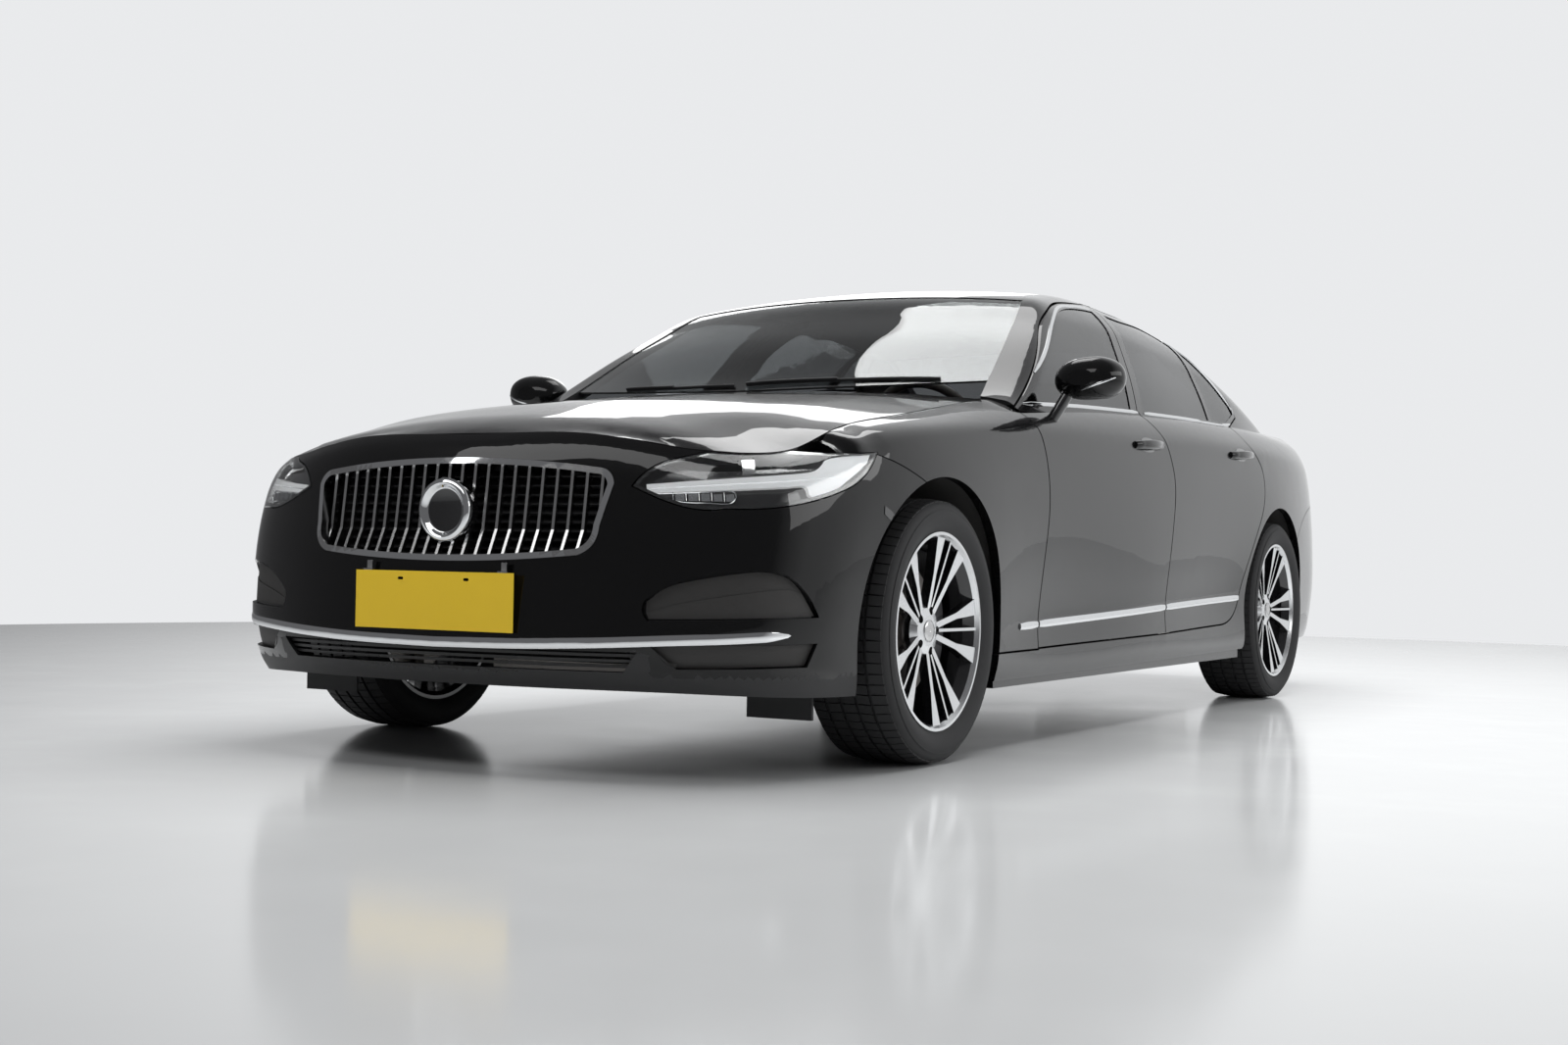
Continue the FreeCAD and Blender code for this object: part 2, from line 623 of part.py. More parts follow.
def plan_prism(runs, z0, z1, distance=0.0):
    return prism(grown(runs, distance) if distance else runs, PLAN_VIEW, z0, z1)


bonnet_hole = plan_prism(BONNET_EDGE, 700, 1200)
deck_hole = plan_prism(DECK_EDGE, 960, 1300)
lamp_through = (1650.0, 2320.0)
lamp_hole = prism(LAMP_EDGE, CORNER_VIEW, *lamp_through)
lamp_holes = lamp_hole.fuse(mirror(lamp_hole))

# How deep the doors and their openings reach: (y, z) points down the inside of a door.
DOOR_DEPTH = [(across(y), upward(z)) for y, z in [(835, 100), (835, 1000), (812, 1045), (790, 1100), (737, 1200),
                                                  (676, 1290), (622, 1341), (600, 1385), (600, 1600),
                                                  (1010, 1600), (1010, 100)]]
DOOR_ROOM = [(y - GAP - 1.5, z) if y < across(900) else (y, z) for y, z in DOOR_DEPTH]
door_space, door_room = [prism([[a, b] for a, b in zip(line, line[1:] + line[:1])], FRONT_VIEW,
                               along(-1300), along(1200)) for line in (DOOR_DEPTH, DOOR_ROOM)]

door_wall = sheet_of(side_grid, size("door_thickness"))
door_shell = door_wall.fuse(house_wall).common(door_space)
glass_sheet = sheet_of(HOUSE, size("glass_thickness"), size("glass_recess"))

# The outer corner down the front door's rear edge, as (x, y, z) points. The edge leans forward from there
# inward, so that the door swings clear of the rear door.
REAR_CORNER_LOW = [(-148, 903, 240), (-150, 907, 400), (-151, 917, 500), (-150, 928, 600), (-150, 935, 700),
                   (-143, 935, 800), (-120, 933, 850), (-86, 929, 900), (-42, 912, 950), (1, 881, 990),
                   (27, 865, 1012)]
REAR_CORNER_HIGH = [(27, 865, 1012), (15, 849, 1050), (-13, 827, 1100), (-69, 776, 1200), (-126, 717, 1300),
                    (-149, 679, 1340), (-171, 628, 1380), (-199, 590, 1430)]
LEAN = 0.3
LEAN_VIEW = Frame(Vector(0, 0, 0), Vector(1, 0, 0), Vector(0, 0, 1), Vector(-LEAN, 1, 0))
lean_low, lean_high = [[(along(x) + LEAN * (across(y) - 4), upward(z)) for x, y, z in line]
                       for line in (REAR_CORNER_LOW, REAR_CORNER_HIGH)]
door_lean = prism([lean_low, lean_high, [lean_high[-1], (along(-400), lean_high[-1][1])],
                   [(along(-400), lean_high[-1][1]), (along(-400), lean_low[0][1])],
                   [(along(-400), lean_low[0][1]), lean_low[0]]], LEAN_VIEW, across(560), REACH)
front_door = door_shell.common(side_prism(FRONT_DOOR, -GAP / 2)).cut(side_prism(FRONT_WINDOW)).cut(door_lean)
window_bar = side_prism(WINDOW_BAR)
rear_door = door_shell.common(side_prism(REAR_DOOR, -GAP / 2)).cut(side_prism(REAR_WINDOW).cut(window_bar))
keep_pair("door_front", front_door)
keep_pair("door_rear", rear_door)
keep_pair("glass_front_door", glass_sheet.common(side_prism(FRONT_WINDOW, -SEAT)))
rear_pane = glass_sheet.common(side_prism(REAR_WINDOW, -SEAT)).cut(side_prism(WINDOW_BAR, SEAT))
keep_pair("glass_rear_door", rear_pane)

# Wings: ahead of the front door, over the wheel, up to the lamp and the bumper.
FRONT_EDGE = FRONT_DOOR[0]
WING_ZONE = [FRONT_EDGE, drawn([(1058, 957), (1040, 1100)]), drawn([(1040, 1100), (2330, 1100)]),
             drawn([(2330, 1100), (2330, 272)])]
BUMPER_ZONE = [drawn([(1600, 640), (1765, 715), (1880, 752), (1988, 777)]), drawn([(1988, 777), (2120, 740)]),
               drawn([(2120, 740), (2290, 750)]), drawn([(2290, 750), (2290, 900)]),
               drawn([(2290, 900), (2700, 900)]), drawn([(2700, 900), (2700, 100)]),
               drawn([(2700, 100), (1600, 100)])]
TAIL_ZONE = [TAIL_SEAM, drawn([(-2200, 765), (-2700, 765)]), drawn([(-2700, 765), (-2700, 100)]),
             drawn([(-2700, 100), (-1560, 100)]), drawn([(-1560, 100), (-1560, 520)])]
lamp_gap = prism(grown(LAMP_EDGE, GAP / 2), CORNER_VIEW, *lamp_through)
door_holes = side_prism(FRONT_DOOR, GAP / 2).fuse(side_prism(REAR_DOOR, GAP / 2)).common(door_room)
glass_room = sheet_of(HOUSE, size("glass_recess") + size("glass_thickness") + GAP + 1, -1.0)
glass_room = glass_room.common(side_prism(FRONT_WINDOW, 2.0).fuse(side_prism(REAR_WINDOW, 2.0)))
wing = side_wall.common(side_prism(WING_ZONE)).cut(side_prism(FRONT_DOOR, GAP / 2))
for cutter in (side_prism(BUMPER_ZONE, GAP / 2), bonnet_hole, lamp_gap, front_arch):
    wing = wing.cut(cutter)
bonnet_grid = BONNET.grid(along(2462), along(1010), 44, across(800), 33)
bonnet_gutter_sheet = sheet_of(bonnet_grid, 12.0, lid_wall + SEAT)
gutter_zone = plan_prism(BONNET_EDGE, 600, 1300, 26.0).cut(plan_prism(BONNET_EDGE, 600, 1300, -GAP - 26))
gutter_zone = gutter_zone.common(block((along(1200), along(1900)), (across(680), REACH), (700, 1300)))
keep_pair("fender", wing.fuse(bonnet_gutter_sheet.common(gutter_zone)))

# Side frame: roof rail, screen pillar, quarter panel, sill and the door posts behind the doors.
LAMP_FRONT = along(-2190)
LAMP_INSIDE = across(545)
LAMP_LOW = 775.0
LAMP_HIGH = 925.0
tail_lamp_block = block((along(-2700), LAMP_FRONT), (LAMP_INSIDE, REACH), (LAMP_LOW, LAMP_HIGH))
tail_lamp_gap = block((along(-2700), LAMP_FRONT + SEAT), (LAMP_INSIDE, REACH),
                      (LAMP_LOW - GAP / 2, LAMP_HIGH + GAP / 2))
lid_side = block((along(-2300), TAIL - 100), (0, LAMP_INSIDE), (700, 1200))
frame = side_wall.fuse(house_wall).common(block((along(-2700), along(1262)), (5, REACH), (100, 1700)))
for cutter in (door_holes, glass_room, side_prism(FRONT_WINDOW, 8.0), side_prism(REAR_WINDOW, 8.0),
               plan_prism(MIDDLE_STRIP, 900, 1700), side_prism(WING_ZONE, GAP), deck_hole,
               side_prism(TAIL_ZONE, GAP / 2), rear_arch, front_arch, tail_lamp_gap, lid_side):
    frame = frame.cut(cutter)

SILL_TOP = 262.0
FLOOR_LOW = 172.0
SILL_INSIDE = across(800)
sill = block((FRONT - 400, REAR + 406), (SILL_INSIDE, across(896)), (FLOOR_LOW, SILL_TOP))
POST_RECESS = size("door_thickness") + 8
post_grid = skin_grid(skin.at_x(along(1110)), skin.at_x(along(-420)), 26, 0.3, 7.0, 15)
post_wall = sheet_of(post_grid, 40.0, POST_RECESS)
hinge_post = post_wall.common(block((along(900), along(1000)), (300, REACH), (SILL_TOP - 12, 900)))
hinge_post_top = block((along(950), along(1035)), (across(740), across(800)), (850, 985))
hinge_post_step = block((along(950), along(1000)), (across(740), across(830)), (850, 905))
centre_post = post_wall.common(block((along(-235), along(-70)), (300, REACH), (SILL_TOP - 12, 900)))
post_hoops = house_grid(along(260), along(-420), 16)
upper_post_wall = sheet_of(post_hoops, 26.0, size("roof_thickness") + 18)
upper_post = upper_post_wall.common(side_prism([drawn([(90, 900), (-130, 1436)]),
                                                drawn([(-235, 1436), (-40, 900)])]))
post_head = block((along(-235), along(-130)), (across(568), across(592)), (upward(1335), upward(1400)))
seat_wall = sheet_of(post_grid, 12.0, size("door_thickness") + SEAT)


def door_rest(x, z):
    """A pad on a post that the closed door's inside rests on."""
    return seat_wall.common(block((along(x) - 14, along(x) + 14), (500, REACH), (z - 20, z + 20)))


rests = [door_rest(915, 400), door_rest(918, 740), door_rest(-95, 400), door_rest(-95, 700),
         door_rest(-190, 400), door_rest(-190, 700)]
gutter_sheet = sheet_of(DECK.grid(along(-1600), along(-2480), 26, across(792), 25), 12.0, lid_wall + SEAT)
gutter_zone = plan_prism(DECK_EDGE, 900, 1300, 26.0).cut(plan_prism(DECK_EDGE, 900, 1300, -GAP - 26))
gutter_zone = gutter_zone.common(block((along(-1775), along(-2300)), (across(560), REACH), (900, 1300)))
deck_gutter = gutter_sheet.common(gutter_zone)
frame = frame.multiFuse([sill, deck_gutter, hinge_post, hinge_post_top, hinge_post_step, centre_post,
                         upper_post, post_head] + rests).cut(rear_arch)
keep_pair("side_frame", frame)

# Bumper covers.
grille_hole = prism(GRILLE_EDGE, FRONT_VIEW, NOSE - 350, NOSE + 40)
intake_hole = prism(INTAKE_EDGE, FRONT_VIEW, NOSE - 350, NOSE + 40)
pocket_depth = sheet_of(nose_grid, 28.0, -14.0)
pockets = pocket_depth.common(prism(POCKET_EDGE, CORNER_VIEW, *lamp_through))
outlets = pocket_depth.common(prism(OUTLET_EDGE, CORNER_VIEW, *lamp_through))
nose_zone = prism(BUMPER_ZONE, SIDE_VIEW, -REACH, REACH)
front_bumper = nose_wall.common(nose_zone)
for cutter in (bonnet_hole, lamp_gap, mirror(lamp_gap), grille_hole, intake_hole, pockets, mirror(pockets),
               outlets, mirror(outlets), both_front_arches):
    front_bumper = front_bumper.cut(cutter)
chin = [(p.x, p.y) for p in [skin.row(v, [0.0])[0] for v in spread(0.0, skin.at_x(along(2060)), 15)]][::-1]
chin = [(x - 12, y - 8) for x, y in chin]
undertray = plan_prism([both_halves(chin)], 206, 212)
flap = block((along(2096), along(2106)), (across(620), across(800)), (134, 209))
slat_sheet = sheet_of(nose_grid, 12.0, 12.0)
slat_zone = prism(grown(INTAKE_EDGE, 8), FRONT_VIEW, NOSE - 350, NOSE + 40)
slats = [slat_sheet.common(slat_zone).common(block((along(2200), NOSE), (-600, 600), (z, z + 7)))
         for z in (262, 275, 288)]
front_bumper = front_bumper.multiFuse([undertray, flap, mirror(flap)] + slats)
SLOT_R = 3.5
SLOT_END = 4.5
SLOT_Z = 458.0
SCREW_PLACES = (-100.0, 100.0)


def screw_slot(y, radius, depth):
    """A slot that a number plate's screw runs through, from front to back."""
    ends = [rod(Vector(NOSE - depth, y + e, SLOT_Z), Vector(NOSE + 5, y + e, SLOT_Z), radius)
            for e in (-SLOT_END, SLOT_END)]
    middle = block((NOSE - depth, NOSE + 5), (y - SLOT_END, y + SLOT_END), (SLOT_Z - radius, SLOT_Z + radius))
    return middle.multiFuse(ends)


for y in SCREW_PLACES:
    screw_room = rod(Vector(NOSE - 60, y, SLOT_Z), Vector(NOSE + 5, y, SLOT_Z), SLOT_R + SLOT_END + 2)
    front_bumper = front_bumper.cut(screw_room)
keep("front_bumper", front_bumper)

tail_zone = prism(TAIL_ZONE, SIDE_VIEW, -REACH, REACH)
keep("rear_bumper", tail_wall.common(tail_zone).cut(both_rear_arches))
both_lamp_blocks = tail_lamp_block.fuse(mirror(tail_lamp_block))
keep("tail_lamps", tail_wall.common(both_lamp_blocks))

# Headlamps: a clear lens over a dark tray that carries the light bars.
lens = sheet_of(nose_grid, 4.0).common(lamp_hole).cut(bonnet_hole)
keep("headlamp_lenses", lens.fuse(mirror(lens)))
tray = sheet_of(nose_grid, 36.0, 4.0 + SEAT).common(lamp_hole)
hollow = sheet_of(nose_grid, 36.0, -6.0).common(prism(grown(LAMP_EDGE, -8), CORNER_VIEW, *lamp_through))
tray = tray.cut(hollow).cut(bonnet_hole)
keep("headlamp_trays", tray.fuse(mirror(tray)))

# Roof and fixed glass.
keep("roof_panel", house_wall.common(plan_prism(ROOF_PANEL, 1200, 1700, -SEAT)))
keep("windscreen", glass_sheet.common(plan_prism(WINDSCREEN, 900, 1700, -SEAT)))
keep("rear_window", glass_sheet.common(plan_prism(BACKLIGHT, 900, 1700, -SEAT)))

# Bonnet and boot lid.
bonnet_wall = sheet_of(BONNET.grid(along(2462), along(1010), 44, across(800), 33), lid_wall)
keep("bonnet", bonnet_wall.common(plan_prism(BONNET_EDGE, 600, 1300, -GAP)))
deck_wall = sheet_of(DECK.grid(along(-1600), along(-2480), 26, across(792), 25), lid_wall)
deck_part = deck_wall.common(plan_prism(DECK_EDGE, 900, 1300, -GAP))
LID_LOW = 771.0
lid_back = sheet_of(tail_grid, lid_wall).common(block((along(-2300), TAIL - 100), (-LAMP_INSIDE + GAP, LAMP_INSIDE - GAP),
                                                      (LID_LOW, 1200)))
keep("boot_lid", deck_part.fuse(lid_back))

# Floor, engine bay and boot floor.
FLOOR_TOP = FLOOR_LOW + 20.0
FIREWALL = along(1130)
REAR_STEP = along(-780)
BOOT_FLOOR = 360.0
TUNNEL = 118.0
TUNNEL_TOP = 330.0
TUNNEL_WALL = 12.0
floor = block((FIREWALL, REAR_STEP), (-SILL_INSIDE + SEAT, SILL_INSIDE - SEAT), (FLOOR_LOW, FLOOR_TOP))
tunnel = block((FIREWALL, REAR_STEP), (-TUNNEL - TUNNEL_WALL, TUNNEL + TUNNEL_WALL), (FLOOR_LOW, TUNNEL_TOP))
tunnel_space = block((FIREWALL + 30, REAR_STEP - 30), (-TUNNEL, TUNNEL), (0, TUNNEL_TOP - TUNNEL_WALL))
keep("floor_pan", floor.fuse(tunnel).cut(tunnel_space))

LINER = size("arch_radius") + 14
WALL_IN = across(470)
RAIL_LOW = 420.0
nose_outside = sheet_of(nose_grid, size("bumper_thickness") + 40 + SEAT, -40.0)
side_outside = sheet_of(side_grid, skin_wall + 40 + SEAT, -40.0)
tail_outside = sheet_of(tail_grid, size("bumper_thickness") + 40 + SEAT, -40.0)


def wheelhouse(x):
    """The inner wheel arch: a half drum with an open window in its inner wall."""
    outer = rod(Vector(x, WALL_IN, AXLE), Vector(x, across(925), AXLE), LINER + 5)
    inner = rod(Vector(x, WALL_IN + 8, AXLE), Vector(x, REACH, AXLE), LINER)
    window = block((x - 190, x + 190), (0, REACH), (0, 610))
    low = block((x - 600, x + 600), (0, REACH), (-400, SILL_TOP + 8))
    return outer.cut(inner).cut(window.common(block((x - 190, x + 190), (0, WALL_IN + 8), (0, 610)))).cut(low)


house_front = main_piece(wheelhouse(FRONT).cut(side_outside).cut(nose_outside))
rails = block((FIREWALL + 20, along(2380)), (WALL_IN - 70, WALL_IN), (RAIL_LOW, RAIL_LOW + 100))
bumper_beam = block((along(2380), along(2560)), (-across(500), across(500)), (430, 520))
bumper_beam = main_piece(bumper_beam.cut(nose_outside))
UPPER_ARM = AXLE + 170.0
LOWER_ARM = AXLE - 170.0
KINGPIN = size("track") / 2 - 49.0
upper_arm = block((FRONT - 26, FRONT + 26), (WALL_IN - 5, KINGPIN), (UPPER_ARM - 11, UPPER_ARM + 11))
EYE_R = 18.0
upper_eye = rod(Vector(FRONT, KINGPIN, UPPER_ARM - 13), Vector(FRONT, KINGPIN, UPPER_ARM + 13), EYE_R)
firewall = block((FIREWALL, FIREWALL + 20), (-across(700), across(700)), (FLOOR_LOW, 940)).cut(tunnel_space)
lamp_back = sheet_of(nose_grid, 76.0 + 4 + 3 * SEAT, -40.0)
lamp_bracket = block((along(2285), along(2345)), (WALL_IN - 30, across(620)), (RAIL_LOW + 80, 715)).cut(lamp_back)
lamp_bracket = main_piece(lamp_bracket)
bay = house_front.multiFuse([rails, upper_arm, upper_eye, lamp_bracket])
keep("engine_bay", bay.multiFuse([mirror(bay), firewall, bumper_beam]))

house_rear = main_piece(wheelhouse(REAR).cut(side_outside).cut(tail_outside))
boot_floor = block((along(-2380), REAR_STEP), (-WALL_IN, WALL_IN), (BOOT_FLOOR, BOOT_FLOOR + 20))
step = block((REAR_STEP - 20, REAR_STEP), (-WALL_IN, WALL_IN), (FLOOR_LOW, BOOT_FLOOR + 20)).cut(tunnel_space)
boot_back = block((along(-2400), along(-2380)), (-across(560), across(560)), (330, 720))
rear_beam = block((along(-2560), along(-2400)), (-across(500), across(500)), (430, 540))
rear_beam = main_piece(rear_beam.cut(tail_outside))
shelf = block((along(-1240), along(-1790)), (-across(600), across(600)), (985, 1000))
bulkhead = block((along(-1245), along(-1225)), (-across(600), across(600)), (BOOT_FLOOR, 1000))
keep("boot_floor", house_rear.multiFuse([mirror(house_rear), boot_floor, step, boot_back, rear_beam, shelf, bulkhead]))

# Radiator, engine, subframes and exhaust.
radiator = block((along(2290), along(2350)), (-WALL_IN + 70 + SEAT, WALL_IN - 70 - SEAT), (270, 690))
keep("radiator", radiator)
engine = block((FRONT - 170, FRONT + 260), (-330, 330), (230 + SEAT, 810))
keep("engine_block", engine.makeFillet(25, engine.Edges))
cross_front = block((FRONT - 70, FRONT + 70), (-WALL_IN + 20, WALL_IN - 20), (LOWER_ARM - 15, 230))
post_front = block((FRONT - 60, FRONT + 60), (WALL_IN - 60, WALL_IN - 20), (200, RAIL_LOW))
lower_arm = block((FRONT - 28, FRONT + 28), (WALL_IN - 40, KINGPIN), (LOWER_ARM - 12, LOWER_ARM + 12))
lower_eye = rod(Vector(FRONT, KINGPIN, LOWER_ARM - 14), Vector(FRONT, KINGPIN, LOWER_ARM + 14), EYE_R)
corner = post_front.multiFuse([lower_arm, lower_eye])
keep("front_subframe", cross_front.multiFuse([corner, mirror(corner)]))

DISC_IN = size("track") / 2 - 24.0
DISC = size("disc_thickness")
HAT_FACE = size("track") / 2 + 42.0
HUB_END = HAT_FACE - 7 - SEAT


def hub_carrier(x, low, high):
    """Upright, bearing and caliper inside a left wheel."""
    upright = block((x - 22, x + 22), (KINGPIN - 20, KINGPIN + 15), (low, high))
    bearing = rod(Vector(x, KINGPIN - 20, AXLE), Vector(x, DISC_IN - 5, AXLE), 48)
    spindle = rod(Vector(x, DISC_IN - 6, AXLE), Vector(x, HUB_END, AXLE), 34)
    ring = rod(Vector(x, KINGPIN, AXLE), Vector(x, DISC_IN + DISC + 16, AXLE), size("disc_radius") + 34)
    ring = ring.cut(rod(Vector(x, 0, AXLE), Vector(x, REACH, AXLE), size("disc_radius") - 52))
    slot = rod(Vector(x, DISC_IN - 5, AXLE), Vector(x, DISC_IN + DISC + 5, AXLE), size("disc_radius") + 6)
    sector = block((x - 260, x - 60), (0, REACH), (AXLE - 92, AXLE + 92))
    caliper = ring.cut(slot).common(sector)
    tie = block((x - 150, x), (KINGPIN - 12, KINGPIN + 12), (AXLE - 24, AXLE + 24))
    return upright.multiFuse([bearing, spindle, caliper, tie])


front_carrier = hub_carrier(FRONT, LOWER_ARM + 14 + SEAT, UPPER_ARM - 13 - SEAT)
keep_pair("front_knuckle", front_carrier)
rear_carrier = hub_carrier(REAR, LOWER_ARM - 10, AXLE + 80)
cross_rear = block((REAR - 70, REAR + 70), (-WALL_IN + 20, WALL_IN - 20), (240, BOOT_FLOOR))
rear_arm = block((REAR - 30, REAR + 30), (WALL_IN - 60, KINGPIN), (LOWER_ARM + 71, LOWER_ARM + 95))
low_arm = block((REAR - 24, REAR + 24), (WALL_IN - 60, KINGPIN), (AXLE + 40, AXLE + 60))
rear_post = block((REAR - 40, REAR + 40), (WALL_IN - 70, WALL_IN - 30), (240, BOOT_FLOOR))
rear_corner = rear_carrier.multiFuse([rear_arm])
keep("rear_subframe", cross_rear.multiFuse([rear_corner, mirror(rear_corner)]))

pipe_z = 200.0
pipe = rod(Vector(FRONT - 130, 60, pipe_z), Vector(along(-1900), 60, pipe_z), 28)
riser = rod(Vector(FRONT - 130, 60, pipe_z - 28), Vector(FRONT - 130, 60, 230), 34)
muffler = block((along(-1850), along(-2250)), (-260, 300), (170, BOOT_FLOOR - SEAT))
keep("exhaust", muffler.makeFillet(50, [e for e in muffler.Edges if abs(e.BoundBox.YLength) > 300]).multiFuse([pipe, riser]))

# Wheels: tyre, rim and brake disc turn together.
TRACK = size("track")
TYRE_R = size("tyre_radius")
TYRE_W = size("tyre_width") / 2
RIM_R = size("rim_radius")
RIM_W = size("rim_width") / 2


def turned(points):
    """A solid turned round the wheel's axis from (across, radius) points."""
    wire = Part.makePolygon([Vector(0, a, r) for a, r in points + points[:1]])
    return Part.Face(wire).revolve(Vector(0, 0, 0), Vector(0, 1, 0), 360)


tyre = turned([(-RIM_W + 10, RIM_R - 12), (RIM_W - 10, RIM_R - 12), (RIM_W - 6 - SEAT, RIM_R + SEAT),
               (RIM_W - 1, RIM_R + 4), (TYRE_W, RIM_R + 40), (TYRE_W - 9, TYRE_R - 16), (TYRE_W - 32, TYRE_R),
               (-TYRE_W + 32, TYRE_R), (-TYRE_W + 9, TYRE_R - 16), (-TYRE_W, RIM_R + 40),
               (-RIM_W + 1, RIM_R + 4), (-RIM_W + 6 + SEAT, RIM_R + SEAT)])
barrel = turned([(RIM_W, RIM_R), (RIM_W - 6, RIM_R), (RIM_W - 10 + SEAT, RIM_R - 12 - SEAT), (-RIM_W + 10 - SEAT, RIM_R - 12 - SEAT),
                 (-RIM_W + 6, RIM_R), (-RIM_W, RIM_R), (-RIM_W, RIM_R - 10), (-RIM_W + 14, RIM_R - 22),
                 (RIM_W - 40, RIM_R - 30), (RIM_W - 12, RIM_R - 16), (RIM_W, RIM_R - 8)])
HUB = HAT_FACE - TRACK / 2
hub_pad = turned([(HUB, 0), (HUB, 76), (HUB + 14, 74), (HUB + 30, 60), (HUB + 34, 40), (HUB + 34, 0)])


def spoke(half_root, half_tip, angle, lean):
    """One spoke: a tapered bar from the hub to the barrel, standing at an angle round the axis."""
    inner, outer = 52.0, RIM_R - 14
    profile = [(HUB + 4, inner), (HUB + 30, inner), (RIM_W - 8, outer), (RIM_W - 34, outer)]
    side = Part.Face(Part.makePolygon([Vector(0, a, r) for a, r in profile + profile[:1]]))
    bar = side.extrude(Vector(200, 0, 0))
    bar.translate(Vector(-100, 0, 0))
    plan = [(-half_root, 0), (half_root, 0), (half_root, 150), (half_tip + lean, outer + 2),
            (-half_tip + lean, outer + 2), (-half_root, 150)]
    shape = Part.Face(Part.makePolygon([Vector(x, 0, r) for x, r in plan + plan[:1]])).extrude(Vector(0, 200, 0))
    bar = bar.common(shape)
    bar.rotate(Vector(0, 0, 0), Vector(0, 1, 0), angle)
    return bar


spokes = []
for group in range(5):
    centre = -90 + 72 * group
    spokes.append(spoke(8, 22, centre + 14, 0))
    spokes.append(spoke(4, 4, centre, 0))
    spokes.append(spoke(8, 22, centre - 17, 0))
rim = barrel.multiFuse([hub_pad] + spokes)
bolt_circle = 54.0
for group in range(5):
    angle = radians(72 * group)
    rim = rim.cut(Part.makeCylinder(11, 80, Vector(bolt_circle * -cos(angle), HUB + 8, bolt_circle * sin(angle)),
                                    Vector(0, 1, 0)))
disc_low = DISC_IN - TRACK / 2
disc = turned([(disc_low, 80), (disc_low, size("disc_radius")), (disc_low + DISC, size("disc_radius")),
               (disc_low + DISC, 88), (HUB, 88), (HUB, 0), (HUB - 7, 0), (HUB - 7, 80)])
for name, x, side in (("front_left", FRONT, 1), ("front_right", FRONT, -1), ("rear_left", REAR, 1),
                      ("rear_right", REAR, -1)):
    for piece, shape in (("tyre_", tyre), ("rim_", rim), ("disc_", disc)):
        placed = shape.copy()
        if side < 0:
            placed.rotate(Vector(0, 0, 0), Vector(0, 0, 1), 180)
        placed.translate(Vector(x, side * TRACK / 2, AXLE))
        keep(piece + name, placed)

# Grille: a frame round the opening, upright bars and low slats.
grille_sheet = sheet_of(nose_grid, 24.0, -3.0)
ring = grille_sheet.common(prism(grown(GRILLE_EDGE, -SEAT), FRONT_VIEW, NOSE - 350, NOSE + 40))
ring = ring.cut(prism(grown(GRILLE_EDGE, -15), FRONT_VIEW, NOSE - 350, NOSE + 40))


def skin_x(y, z):
    """Where the nose's skin passes a point of the front view."""
    low, high = 0.0, skin.at_x(NOSE - 250)
    for _ in range(24):
        s = (low + high) / 2
        x, plan_y, out_x, out_y = skin.plan(s)
        insets, heights = skin.column(s)
        a, b = 0.0, RIM
        for _ in range(16):
            v = (a + b) / 2
            if heights(v) < z:
                a = v
            else:
                b = v
        inset = insets((a + b) / 2)
        if plan_y - inset * out_y < abs(y):
            low = s
        else:
            high = s
    return x - inset * out_x


bars = []
bar_zone = prism(grown(GRILLE_EDGE, -8), FRONT_VIEW, NOSE - 350, NOSE + 40)
BARS = 22
bar_pitch = 2 * 430.0 / BARS
for i in range(BARS):
    y = (i - (BARS - 1) / 2) * bar_pitch
    top = 748.0
    low = 506.0
    front = [(skin_x(y, z) - depth, z) for z, depth in ((top, 8), (top - 70, 20), (580, 30), (low, 8))]
    back = [(x - 14, z) for x, z in front[::-1]]
    face = Part.Face(Part.makePolygon([Vector(x, y - 4, z) for x, z in front + back + front[:1]]))
    bars.append(face.extrude(Vector(0, 8, 0)).common(bar_zone))
badge_x = skin_x(0, 624) - 14
badge = rod(Vector(badge_x - 30, 0, 624), Vector(badge_x + 12, 0, 624), 66)
grille = ring.multiFuse(bars + [badge])
keep("grille", grille)
plate = block((NOSE - 2, NOSE), (-240, 240), (336, 476))
bracket = block((NOSE - 30, NOSE - 2), (-150, 150), (346, 466))
bracket = main_piece(bracket.cut(sheet_of(nose_grid, size("bumper_thickness") + 2 * SEAT, -SEAT)))
number_plate = plate.fuse(bracket)
for y in SCREW_PLACES:
    number_plate = number_plate.cut(screw_slot(y, SLOT_R, 60))
keep("number_plate", number_plate)

# Cabin: dashboard, steering wheel, seats.
DASH = [drawn([(1129, 640), (1129, 895)]),
        drawn([(1129, 895), (1020, 932), (850, 972), (760, 948), (740, 880)]),
        drawn([(740, 880), (790, 760), (860, 640)])]
dash = prism(DASH, SIDE_VIEW, -across(730), across(730))
WHEEL_Y = 370.0
COLUMN_TILT = 22.0
COLUMN_R = 30.0
wheel_ring = Part.makeTorus(182, 15, Vector(0, 0, 0), Vector(1, 0, 0))
wheel_boss = Part.makeCylinder(62, 34, Vector(-6, 0, 0), Vector(1, 0, 0))
wheel_arms = [block((0, 12), (-180, 180), (-18, 18)), block((0, 12), (-16, 16), (-180, 0))]
column = Part.makeCylinder(COLUMN_R, 260, Vector(20, 0, 0), Vector(1, 0, 0))
column_hole = Part.makeCylinder(COLUMN_R + GAP, 260 + GAP, Vector(20, 0, 0), Vector(1, 0, 0))
column_bearing = Part.makeCylinder(COLUMN_R + 1, 261, Vector(20, 0, 0), Vector(1, 0, 0))
steering = wheel_ring.multiFuse([wheel_boss, column] + wheel_arms)
for shape in (steering, column_hole, column_bearing):
    shape.rotate(Vector(0, 0, 0), Vector(0, 1, 0), COLUMN_TILT)
    shape.translate(Vector(along(600), WHEEL_Y, 900))
collar = column_hole.common(block((along(820), along(832)), (0, 700), (640, 1000)))
keep("dashboard", dash.cut(column_hole).fuse(collar.cut(column_bearing)))
